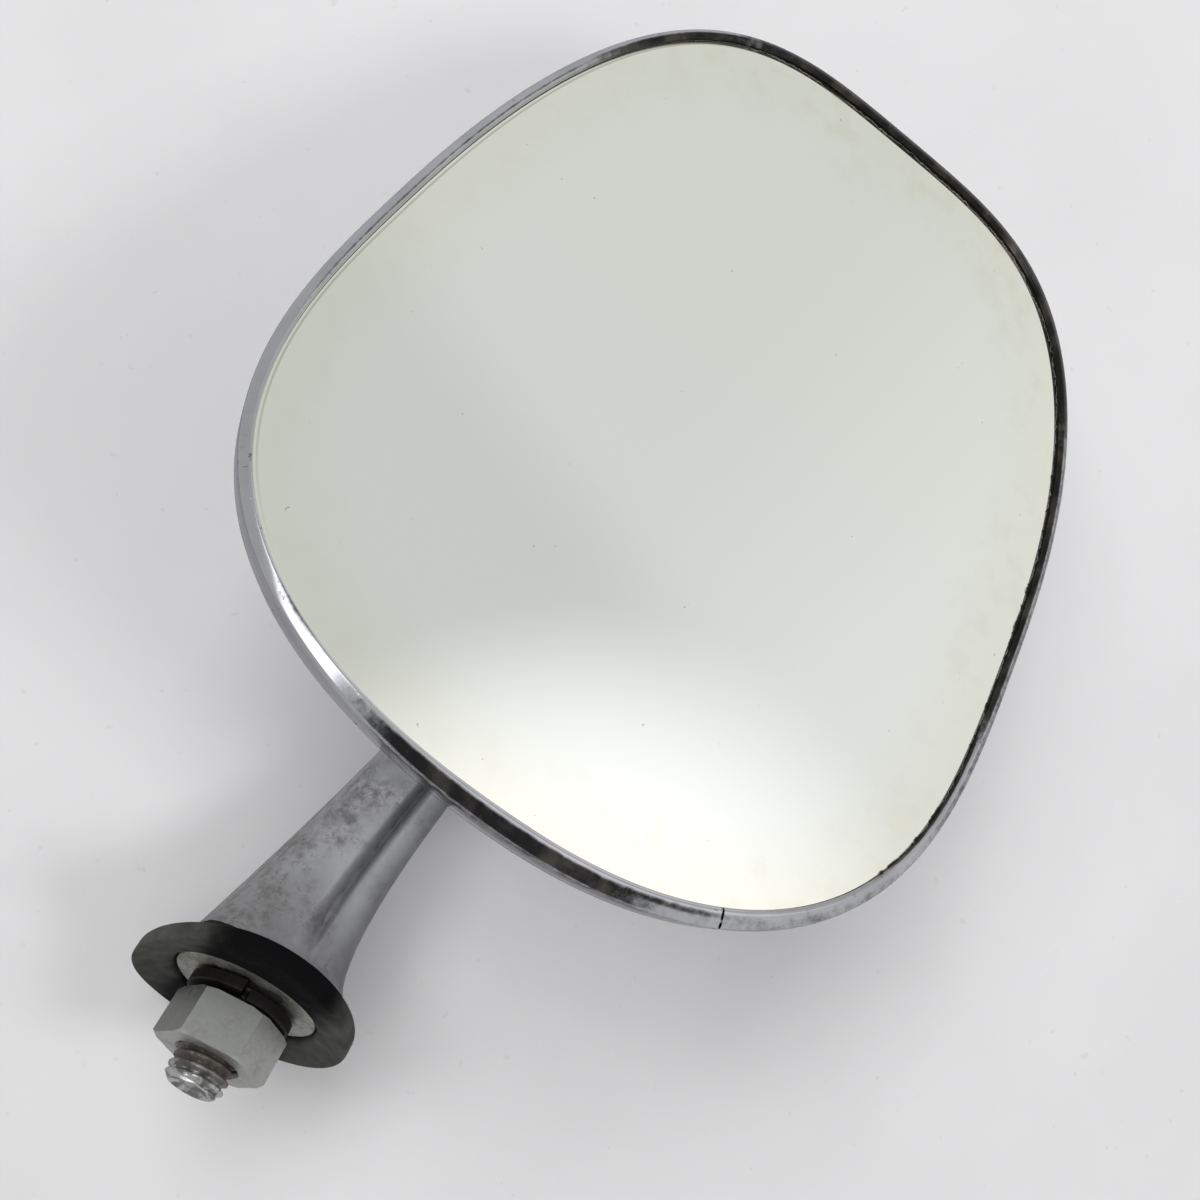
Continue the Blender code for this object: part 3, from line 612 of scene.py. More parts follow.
@dataclass(frozen=True)
class SteelFinish(Finish):
    """Bare or zinc-plated metal with tarnish, and painted shade on its left-facing side where asked."""

    colour: Colour
    stain: Colour
    roughness: float = 0.35
    stain_share: float = 0.35
    metallic: float = 1.0
    relief: float = 0.04
    left_shade: float = 0.0
    specular: float = 0.5

    def wire(self, g: Graph) -> None:
        """Wire the steel material.

        Args:
            g: Builder of the material.
        """
        cloud = g.noise(5.0, 6.0, 0.65)
        fine = g.noise(0.7, 3.0, 0.6)
        mask = g.times(g.band(cloud, 0.40, 0.66), g.band(fine, 0.30, 0.60, 0.45, 1.0))
        mask = g.times(mask, self.stain_share)
        tone = g.mix(mask, self.colour, self.stain)
        # Painted shade: faces that look left are darkened by left_shade.
        if self.left_shade:
            left = g.band(g.facing(0), -0.25, -0.80, 0.0, self.left_shade)
            tone = g.mix(left, tone, shaded(self.colour, 0.3))
        g.set("Base Color", tone)
        g.set("Roughness", g.plus(g.times(mask, 0.3),
                                  g.band(fine, 0.3, 0.7, self.roughness * 0.85, self.roughness * 1.2)))
        g.set("Metallic", g.minus(self.metallic, g.times(mask, 0.5 * self.metallic)))
        g.set("Specular IOR Level", self.specular)
        g.bump(fine, self.relief)


@dataclass(frozen=True)
class ThreadFinish(Finish):
    """Stud steel: rust next to the nut, worn bright at the end."""

    bright: Colour = (0.44, 0.44, 0.44)
    rust: Colour = (0.062, 0.046, 0.034)
    grime_and_shade: Colour = (0.055, 0.050, 0.045)
    bright_end: float = -15.7
    rusty_end: float = -12.2

    def wire(self, g: Graph) -> None:
        """Wire the stud material along its axis, in millimetres.

        Args:
            g: Builder of the material.
        """
        height = g.times(g.axis(2), MM_PER_METRE)
        wander = g.times(g.minus(g.noise(2.5, 4.0), 0.5), 3.0)
        rust = g.band(g.plus(height, wander), self.bright_end + 0.9, self.rusty_end, 0.0, 0.92)
        fine = g.noise(0.6, 4.0, 0.6)
        rust = g.times(rust, g.band(fine, 0.2, 0.6, 0.6, 1.0))
        dirt_and_shade = g.band(g.noise(2.2, 4.0, 0.6), 0.42, 0.60)
        steel = g.mix(g.times(dirt_and_shade, 0.68), self.bright, self.grime_and_shade)
        g.set("Base Color", g.mix(rust, steel, self.rust))
        g.set("Metallic", g.minus(1.0, g.times(rust, 0.7)))
        g.set("Roughness", g.band(g.larger(rust, dirt_and_shade), 0.0, 1.0, 0.20, 0.65))
        g.bump(fine, 0.05)


@dataclass(frozen=True)
class SoftFinish(Finish):
    """Felt, nylon and other dull inner materials."""

    colour: Colour
    roughness: float
    grain_mm: float = 0.6

    def wire(self, g: Graph) -> None:
        """Wire the dull material.

        Args:
            g: Builder of the material.
        """
        grain = g.noise(self.grain_mm, 4.0, 0.65)
        cloud = g.noise(9.0, 4.0)
        g.set("Base Color", g.mix(g.band(cloud, 0.3, 0.7), self.colour, shaded(self.colour, 0.7)))
        g.set("Roughness", g.band(grain, 0.3, 0.7, self.roughness * 0.9, min(1.0, self.roughness * 1.1)))
        g.bump(grain, 0.08, 0.6)


def dress(piece: Piece, finish: Finish, body: Body, replaced: Optional[str] = None) -> Piece:
    """Give a new piece its finish and its body, and hide the node that it stands for.

    Args:
        piece: The finished mesh.
        finish: Finish that builds the material.
        body: Body that the piece rides on.
        replaced: Node that the piece stands for.

    Returns:
        The same piece.
    """
    piece.data.materials.clear()
    piece.data.materials.append(finish.material())
    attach(piece, body.value)
    if replaced:
        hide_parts(replaced)
    LOG.info("%s: %d faces on %s", piece.name, len(piece.data.polygons), body.value)
    return piece


@dataclass(frozen=True)
class HeadFrame:
    """Where the ball's centre is and how the head leans."""

    sweep: float = 8.1 * MM
    reach: float = 61.5 * MM
    rise: float = 80.0 * MM
    tilt: float = math.radians(17.9)

    @property
    def centre(self) -> Vector:
        """The ball's centre."""
        return Vector((self.sweep, -self.reach, self.rise))

    @property
    def matrix(self) -> Matrix:
        """Frame of the head: X across, Y towards the arm, Z up the glass."""
        return Matrix.Translation(self.centre) @ Matrix.Rotation(self.tilt, 4, "X")

    @property
    def axis(self) -> Matrix:
        """Frame whose Z axis runs from the glass towards the arm."""
        return self.matrix @ Matrix.Rotation(math.radians(-90), 4, "X")


@dataclass(frozen=True)
class HeadOutline:
    """Rounded trapezoid of the glass opening, with two small waves."""

    width: float = 114.2 * MM
    height: float = 130.7 * MM
    taper: float = 0.123
    top_side: float = 3.49
    top_end: float = 2.39
    bottom_side: float = 2.19
    bottom_end: float = 3.11
    drop: float = 8.0 * MM
    four_wave_bow: float = 0.32 * MM
    three_wave_bow: float = 0.22 * MM

    def bow_at(self, share: float) -> float:
        """How far the outline bows out at a share of the way round from the bottom."""
        turn = 2 * math.pi * share
        return self.four_wave_bow * math.sin(4 * turn) + self.three_wave_bow * math.sin(3 * turn)

    def edge(self, angle: float) -> Vector:
        """Point (x, z) on the opening's edge.

        Args:
            angle: Angle round the opening, from its right side.

        Returns:
            The point, measured from the middle of the opening.
        """
        upper = math.sin(angle) > 0
        rise = signed_power(math.sin(angle), 2 / (self.top_end if upper else self.bottom_end))
        half = self.width / 2 * (1 - self.taper * rise)
        across = half * signed_power(math.cos(angle), 2 / (self.top_side if upper else self.bottom_side))
        return Vector((across, self.height / 2 * rise))

    def ring(self, count: int, start: float = 0.0) -> list[tuple[Vector, Vector]]:
        """Even points round the edge with their outward directions.

        Args:
            count: Number of points.
            start: Share of the way round where the ring starts, from the bottom.

        Returns:
            Pairs of point and direction, measured from the ball's centre.
        """
        fine = 2880
        dense = [self.edge(2 * math.pi * i / fine - math.pi / 2) for i in range(fine + 1)]
        lengths = [0.0]
        for a, b in zip(dense, dense[1:]):
            lengths.append(lengths[-1] + (b - a).length)
        points = []
        at = 0
        for i in range(count):
            wanted = lengths[-1] * ((i / count + start) % 1.0)
            if wanted < lengths[at]:
                at = 0
            while lengths[at + 1] < wanted:
                at += 1
            share = (wanted - lengths[at]) / (lengths[at + 1] - lengths[at])
            points.append(dense[at].lerp(dense[at + 1], share))
        pairs = []
        for i, point in enumerate(points):
            along = (points[(i + 1) % count] - points[i - 1]).normalized()
            out = Vector((along.y, -along.x))
            pairs.append((point + out * self.bow_at(i / count + start) + Vector((0.0, self.drop)), out))
        return pairs


@dataclass(frozen=True)
class DarkReflectionZone:
    """Stretch of the rim where a dark reflection is painted on the plating."""

    start: float
    end: float
    inner: float
    outer: float
    strength: float = 1.0
    place_fade: float = 0.024
    section_fade: float = 0.26

    def level(self, share: float, along: float) -> float:
        """Strength of the painted dark reflection, from 0 to 1.

        Args:
            share: Place round the head, as a share of the way from the bottom.
            along: Length along the section from the lip on the glass, in millimetres.

        Returns:
            The strength of the painted dark reflection there.
        """
        half = ((self.end - self.start) % 1.0) / 2
        away = abs((share - self.start - half + 0.5) % 1.0 - 0.5)
        place = 1 - ease(away, half - self.place_fade, half + self.place_fade)
        lower = ease(along, self.inner - self.section_fade, self.inner + self.section_fade)
        upper = 1 - ease(along, self.outer - self.section_fade, self.outer + self.section_fade)
        return self.strength * place * lower * upper


# Stretches of the rim with painted dark reflections; the finish mottles them with grime tones.
DARK_REFLECTION_ZONES = (
    DarkReflectionZone(0.150, 0.226, -1.0, 0.65),
    DarkReflectionZone(0.218, 0.362, -1.0, 1.25),
    DarkReflectionZone(0.350, 0.578, -1.0, 2.15),
    DarkReflectionZone(0.565, 0.645, -1.0, 1.55, 0.9),
    DarkReflectionZone(0.640, 0.800, 0.98, 1.22, 0.85),
    DarkReflectionZone(0.946, 0.058, 1.25, 2.75),
    DarkReflectionZone(0.036, 0.088, 1.15, 1.75, 0.8),
    DarkReflectionZone(0.894, 0.916, 0.80, 1.40, 0.8),
    DarkReflectionZone(0.955, 0.075, 2.50, 7.50, 0.60, 0.03, 0.5),
    DarkReflectionZone(0.075, 0.165, 1.40, 7.00, 0.38, 0.03, 0.5),
    DarkReflectionZone(0.165, 0.590, 1.20, 3.60, 0.50, 0.03, 0.4),
)


@dataclass
class MirrorHead:
    """Glass, rolled bezel and pressed shell."""

    head: HeadFrame
    outline: HeadOutline
    ball_depth: float = 24.0 * MM
    glass_thickness: float = 3.0 * MM
    glass_edge: float = 0.9 * MM
    bezel_inner: float = 1.3 * MM
    bezel_outer: float = 1.9 * MM
    bead_height: float = 1.2 * MM
    band_depth: float = 6.5 * MM
    lip: float = 0.3 * MM
    hem: float = 0.3 * MM
    bead_steps: int = 6
    hem_steps: int = 5
    seat_gap: float = 0.3 * MM
    bead_step: float = 0.22 * MM
    arris: float = 0.25 * MM
    low_place: float = 0.045
    low_core: float = 0.03
    low_end: float = 0.15
    low_lip: float = 0.7 * MM
    low_flare: float = 0.5 * MM
    joint_gap: float = 0.4 * MM
    joint_place: float = 0.085
    shell_wall: float = 1.0 * MM
    shell_front: float = 4.6 * MM
    shell_rim: float = 9.0 * MM
    shell_roundness: float = 2.5
    back_room: float = 9.0 * MM
    hole_radius: float = 9.2 * MM
    around: int = 288

    def at(self, flat: Vector, depth: float) -> Vector:
        """Point of the head from its place (x, z) on the face and its depth."""
        return self.head.matrix @ Vector((flat.x, depth, flat.y))

    def build_glass(self) -> Piece:
        """Flat glass with the distance to its edge kept on its points.

        Returns:
            The dressed piece.
        """
        ring = self.outline.ring(self.around)
        middle = Vector((0.0, self.outline.drop))
        front, back = -self.ball_depth, -self.ball_depth + self.glass_thickness
        inner = [0.994, 0.985, 0.97, 0.95, 0.92, 0.88, 0.82, 0.7, 0.5, 0.25, 0.0]
        shares = [0.0, 0.5, 1.0, 1.0, 1.0, 1.0] + inner
        depths = [back, back, back, back - self.arris, front + self.arris, front] + [front] * len(inner)
        insets = [0.0, 0.0, self.arris, 0.0, 0.0, self.arris] + [0.0] * len(inner)

        def place(column: int, row: int) -> Vector:
            """Point of the glass.

            Args:
                column: Step round the form.
                row: Step along its section.

            Returns:
                The point, in the shared frame.
            """
            point, out = ring[column % self.around]
            edge = point + out * (self.glass_edge - insets[row])
            flat = middle + (edge - middle) * shares[row]
            return self.at(flat, depths[row])

        def distance(column: int, row: int) -> float:
            """Distance from the visible edge in millimetres.

            Args:
                column: Step round the form.
                row: Step along its section.

            Returns:
                The distance.
            """
            point, out = ring[column % self.around]
            edge = point + out * self.glass_edge
            return ((edge - middle).length * (1 - shares[row]) - self.glass_edge) / MM

        piece = wrapped("mirror_pane", len(shares) - 1, self.around, place, fields={"edge_mm": distance})
        shade(piece, degrees=20)
        return dress(piece, SilverFinish("silvered_glass"), Body.HEAD, "mirror_glass")

    def bezel_profile(self) -> list[tuple[float, float]]:
        """Closed section of the bezel, as (offset, depth): a rolled bead, a step and a hemmed band.

        Returns:
            The points, from the lip on the glass outwards.
        """
        wide, high = self.bezel_outer, self.bead_height
        bead = [(0.0, -self.lip), (0.06 * wide, -0.88 * high), (0.27 * wide, -high),
                (0.90 * wide, -0.50 * high), (wide, 0.1 * MM)]
        points = bead[:1]
        for before, corner, after in zip(bead, bead[1:], bead[2:]):
            start = Vector(before).lerp(Vector(corner), 0.6 if before == bead[0] else 0.5)
            bent = bend(start, Vector(corner), Vector(corner).lerp(Vector(after), 0.5), self.bead_steps)
            points += bent if before == bead[0] else bent[1:]
        points += [(wide - 0.1 * self.bead_step, 0.15 * MM), (wide - self.bead_step, 0.5 * MM),
                   (wide - 0.3 * self.bead_step, 0.9 * MM), (wide, 1.5 * MM),
                   (wide, 0.5 * self.band_depth), (wide, self.band_depth - 0.5 * MM)]
        middle = (wide + self.bezel_inner) / 2
        wall = (wide - self.bezel_inner) / 2
        for i in range(1, self.hem_steps + 1):
            angle = math.pi * i / self.hem_steps
            depth = self.band_depth - self.hem + self.hem * math.sin(angle)
            points.append((middle + wall * math.cos(angle), depth))
        return points + [(self.bezel_inner, 0.5 * self.band_depth), (self.bezel_inner, 0.1 * MM),
                         (self.bezel_inner - self.seat_gap, -self.lip)]

    def build_bezel(self) -> Piece:
        """Rolled band round the glass, open at its butt joint.

        Returns:
            The dressed piece.
        """
        ring = self.outline.ring(self.around, self.joint_place)
        profile = self.bezel_profile()
        profile.append(profile[0])
        rows = len(profile) - 1
        lengths = [0.0]
        for before, after in zip(profile, profile[1:]):
            lengths.append(lengths[-1] + math.dist(before, after) / MM)

        def place(column: int, row: int) -> Vector:
            """Point of the band, which is wider along the bottom.

            Args:
                column: Step round the form.
                row: Step along its section.

            Returns:
                The point, in the shared frame.
            """
            offset, depth = profile[row]
            point, out = ring[column % self.around]
            low = abs((column / self.around + self.joint_place - self.low_place + 0.5) % 1.0 - 0.5)
            part = min(1.0, offset / self.bezel_outer)
            spread = self.low_flare * part - self.low_lip * (1 - part)
            spread *= 1 - ease(low, self.low_core, self.low_end)
            flat = point + out * (offset + spread)
            if column in (0, self.around):
                side = 1 if column == 0 else -1
                flat = flat + Vector((-out.y, out.x)) * side * self.joint_gap / 2
            return self.at(flat, depth - self.ball_depth)

        def dark_reflection(column: int, row: int) -> float:
            """Strength of the painted dark reflection on a point."""
            share = (column / self.around + self.joint_place) % 1.0
            return max(zone.level(share, lengths[row % rows]) for zone in DARK_REFLECTION_ZONES)

        piece = wrapped("rolled_bezel", rows, self.around, place, caps=True, fields={"dark_reflection": dark_reflection})
        shade(piece, degrees=40)
        # The rim's finish paints dark reflections by the zones above.
        finish = ChromeFinish("chrome_rim", (0.47, 0.47, 0.50), rust=0.75, dark_reflection=0.97)
        return dress(piece, finish, Body.HEAD, "rim_bezel")

    def build_shell(self) -> Piece:
        """Pressed dome with a wall, open round the neck's hole.

        Returns:
            The dressed piece.
        """
        ring = self.outline.ring(self.around)
        rim_offset = self.bezel_inner - self.seat_gap
        side = -self.ball_depth + self.shell_rim
        front = -self.ball_depth + self.shell_front
        rings = 30
        wall, wall_end = self.shell_wall, 0.9
        rows: list[tuple[float, float, float]] = [(0.0, front, 0.0), (0.0, side, 0.0)]
        for k in range(1, rings + 1):
            angle = math.pi / 2 * k / rings
            inwards = 1 - max(0.0, math.cos(angle)) ** (2 / self.shell_roundness)
            depth = side + (self.back_room - side) * math.sin(angle) ** (2 / self.shell_roundness)
            rows.append((min(1.0, inwards), depth, 0.0))
        rows[-1] = (1.0, self.back_room, 0.0)
        inner = [(share, depth - (wall if i else 0.0), wall if share < wall_end else 0.0)
                 for i, (share, depth, _) in enumerate(rows)]
        loop = rows + inner[::-1] + [rows[0]]

        def place(column: int, row: int) -> Vector:
            """Point of the dome's wall.

            Args:
                column: Step round the form.
                row: Step along its section.

            Returns:
                The point, in the shared frame.
            """
            share, depth, inset = loop[row]
            point, out = ring[column % self.around]
            rim = point + out * (rim_offset - inset)
            hole = point.normalized() * self.hole_radius
            return self.at(rim + (hole - rim) * share, depth)

        piece = wrapped("pressed_shell", len(loop) - 1, self.around, place)
        shade(piece, degrees=50)
        return dress(piece, ChromeFinish("chrome_shell", rust=0.4), Body.HEAD, "head_shell")

    def build(self) -> list[Piece]:
        """Build the head's visible pieces."""
        return [self.build_glass(), self.build_bezel(), self.build_shell()]


@dataclass(frozen=True)
class GrooveShade:
    """Painted shade in the arm's groove and on the rib beside it, by the distance from the groove's corner.
    """

    facet_share: float = 0.26
    corner_share: float = 0.56
    rib_share: float = 0.14
    far_share: float = 0.26
    facet_fade: tuple[float, float] = (-2.5, -0.9)
    corner_fade: tuple[float, float] = (-0.95, -0.55)
    past_fade: tuple[float, float] = (0.10, 0.50)
    rib_fade: tuple[float, float] = (0.3, 1.0)
    far_fade: tuple[float, float] = (1.0, 5.0)
    front_fade: tuple[float, float] = (0.5, 4.0)
    foot_fade: tuple[float, float] = (0.05, 0.32)

    def level(self, offset: float, height: float, t: float) -> float:
        """How much painted shade lies on a place of the arm's front.

        Args:
            offset: Distance across from the groove's corner, in millimetres.
            height: Distance in front of the arm's middle, in millimetres.
            t: Place along the arm, from 0 at the foot to 1 at the boss.

        Returns:
            The share of painted shade.
        """
        facet = self.facet_share * ease(offset, *self.facet_fade)
        corner = self.corner_share * ease(offset, *self.corner_fade)
        groove = (facet + corner) * (1 - ease(offset, *self.past_fade)) * ease(t, *self.foot_fade)
        rib = self.rib_share + self.far_share * ease(offset, *self.far_fade)
        return max(groove, rib * ease(offset, *self.rib_fade) * ease(height, *self.front_fade))


@dataclass
class CastArm:
    """Cast arm with a flared foot, a groove along its front and a boss for the ball stud."""

    head: HeadFrame
    underside: float = 3.8 * MM
    foot_width: float = 27.0 * MM
    foot_depth: float = 34.0 * MM
    end_width: float = 12.8 * MM
    end_depth: float = 12.0 * MM
    flare: float = 3.0
    start_pull: float = 22.0 * MM
    end_pull: float = 28.0 * MM
    end_angle: float = math.radians(60)
    squareness: float = 3.0
    front_squareness: float = 4.6
    boss_face: float = 15.5 * MM
    shank: float = 8.0 * MM
    boss_radius: float = 8.0 * MM
    boss_dome: float = 3.0 * MM
    boss_floor: float = 2.0 * MM
    dome_steps: int = 12
    groove_place: float = 0.30
    groove_depth: float = 2.2 * MM
    facet: float = 2.3 * MM
    step: float = 0.8 * MM
    groove_fade: tuple[float, float] = (0.03, 0.17)
    # Painted shade in the groove and on the rib beside it.
    dirt_and_shade: GrooveShade = GrooveShade()
    spot_radius: float = 9.6 * MM
    spot_depth: float = 8.0 * MM
    screw_radius: float = 2.3 * MM
    voxel: float = 0.38 * MM
    stations: int = 90
    around: int = 120

    def path(self, t: float) -> tuple[Vector, Vector, Vector]:
        """Point, side axis and back axis of the arm at t.

        Args:
            t: Place along the arm, from 0 at the foot to 1 at the boss.

        Returns:
            The point and the two directions.
        """
        start = Vector((0.0, 0.0, self.underside))
        end = self.head.matrix @ Vector((0.0, self.boss_face + self.shank / 2, 0.0))
        heading = Vector((0.0, -math.cos(self.end_angle), math.sin(self.end_angle)))
        pull_a = start + Vector((0.0, 0.0, self.start_pull))
        pull_b = end - heading * self.end_pull
        u = 1 - t
        point = start * u ** 3 + pull_a * 3 * u * u * t + pull_b * 3 * u * t * t + end * t ** 3
        slope = (pull_a - start) * u * u + (pull_b - pull_a) * 2 * u * t + (end - pull_b) * t * t
        slope.normalize()
        side = Vector((1.0, 0.0, 0.0))
        side = (side - slope * side.dot(slope)).normalized()
        return point, side, slope.cross(side)

    def groove(self, across: float, width: float, t: float) -> float:
        """Depth of the groove at a place across the front: a long facet and a steep return.

        Args:
            across: Distance across from the arm's middle.
            width: Half the arm's width there.
            t: Place along the arm.

        Returns:
            The depth.
        """
        offset = across - self.groove_place * width
        shape = max(0.0, 1 + offset / self.facet if offset <= 0 else 1 - offset / self.step)
        return self.groove_depth * shape * ease(t, *self.groove_fade)

    def half(self, foot: float, end: float, t: float) -> float:
        """Half the arm's width or depth at t, flared towards the foot."""
        return end / 2 + (foot - end) / 2 * (1 - t) ** self.flare

    def section(self, angle: float, t: float) -> Vector:
        """Point of the arm's skin.

        Args:
            angle: Angle round the arm, from its right side.
            t: Place along the arm.

        Returns:
            The point, in the shared frame.
        """
        point, side, back = self.path(t)
        width = self.half(self.foot_width, self.end_width, t)
        depth = self.half(self.foot_depth, self.end_depth, t)
        square = self.front_squareness if math.sin(angle) < 0 else self.squareness
        x = width * signed_power(math.cos(angle), 2 / square)
        y = depth * signed_power(math.sin(angle), 2 / square)
        if y < 0:
            y += self.groove(x, width, t)
        return point + side * x + back * y

    def mark_crease(self, arm: Piece) -> None:
        """Keep on each point how much painted shade lies in the groove there.

        Args:
            arm: The finished casting.
        """
        stations = [(*self.path(i / self.stations), i / self.stations) for i in range(self.stations + 1)]
        layer = arm.data.attributes.new("crease", "FLOAT", "POINT")
        for item, vertex in zip(layer.data, arm.data.vertices):
            point, side, back, t = min(stations, key=lambda station: (station[0] - vertex.co).length_squared)
            height = -back.dot(vertex.co - point) / MM
            if height >= 0:
                middle = self.groove_place * self.half(self.foot_width, self.end_width, t)
                offset = (side.dot(vertex.co - point) - middle) / MM
                item.value = self.dirt_and_shade.level(offset, height, t)

    def build(self) -> Piece:
        """Loft the arm, fuse its boss and smooth the casting.

        Returns:
            The dressed piece.
        """
        def place(column: int, row: int) -> Vector:
            """Point of the lofted arm."""
            return self.section(angle_of(column, self.around), row / self.stations)

        arm = wrapped("cast_arm", self.stations, self.around, place, caps=True)
        face = self.boss_face
        shank_end = face + self.shank
        floor = shank_end + self.boss_floor
        profile = [(0.0, face), (self.boss_radius, face)]
        for i in range(self.dome_steps + 1):
            angle = math.pi / 2 * (1 - i / self.dome_steps)
            profile.append((self.boss_radius * math.sin(angle), floor + self.boss_dome * math.cos(angle)))
        axis = self.head.axis
        boss = turned("arm_boss_form", profile, axis, closed=False)
        spot = rod("spot_face_form", self.spot_radius, (face, face - self.spot_depth), axis)
        combine(arm, spot, Join.CUT)
        combine(arm, boss, Join.FUSE)
        apply_modifier(arm, "REMESH", mode="VOXEL", voxel_size=self.voxel)
        apply_modifier(arm, "SMOOTH", factor=0.5, iterations=3)
        outside = floor + 2 * self.boss_dome
        recess = rod("recess_form", self.screw_radius, (shank_end, outside), axis, steps=48)
        combine(arm, recess, Join.CUT)
        self.mark_crease(arm)
        shade(arm, degrees=50)
        return dress(arm, CastFinish("plated_arm"), Body.ARM, "arm")


@dataclass
class BaseGasket:
    """Oval rubber pad whose ends droop towards the panel."""

    width: float = 38.0 * MM
    length: float = 45.0 * MM
    thickness: float = 3.5 * MM
    opening: float = 13.0 * MM
    left_droop: float = 2.8 * MM
    right_droop: float = 1.8 * MM
    far_droop: float = 1.2 * MM
    droop_power: float = 2.2
    side_squareness: float = 7.0
    top_squareness: float = 5.0
    around: int = 160
    rounds: int = 36

    def droop(self, x: float, y: float) -> float:
        """How far the rubber hangs at a place.

        Args:
            x: Place across the pad.
            y: Place along the pad.

        Returns:
            The distance that it hangs down.
        """
        reach = self.left_droop if x < 0 else self.right_droop
        ends = reach * abs(2 * x / self.width) ** self.droop_power
        far = self.far_droop * max(0.0, 2 * y / self.length) ** 2
        return ends + far

    def build(self) -> Piece:
        """Build the drooping pad with rounded edges.

        Returns:
            The dressed piece.
        """
        def place(column: int, row: int) -> Vector:
            """Point of the pad's skin.

            Args:
                column: Step round the form.
                row: Step along its section.

            Returns:
                The point, in the shared frame.
            """
            angle = angle_of(column, self.around)
            turn = angle_of(row, self.rounds)
            across = 0.5 + 0.5 * signed_power(math.cos(turn), 2 / self.side_squareness)
            height = 0.5 + 0.5 * signed_power(math.sin(turn), 2 / self.top_squareness)
            inner = Vector((math.cos(angle), math.sin(angle))) * self.opening
            outer = Vector((math.cos(angle) * self.width / 2, math.sin(angle) * self.length / 2))
            flat = inner.lerp(outer, across)
            hang = self.droop(flat.x, flat.y) * (flat - inner).length / (outer - inner).length
            return Vector((flat.x, flat.y, self.thickness * height - hang))

        piece = wrapped("drooped_gasket", self.rounds, self.around, place)
        shade(piece, degrees=50)
        return dress(piece, RubberFinish("gasket_rubber"), Body.ARM, "base_gasket")


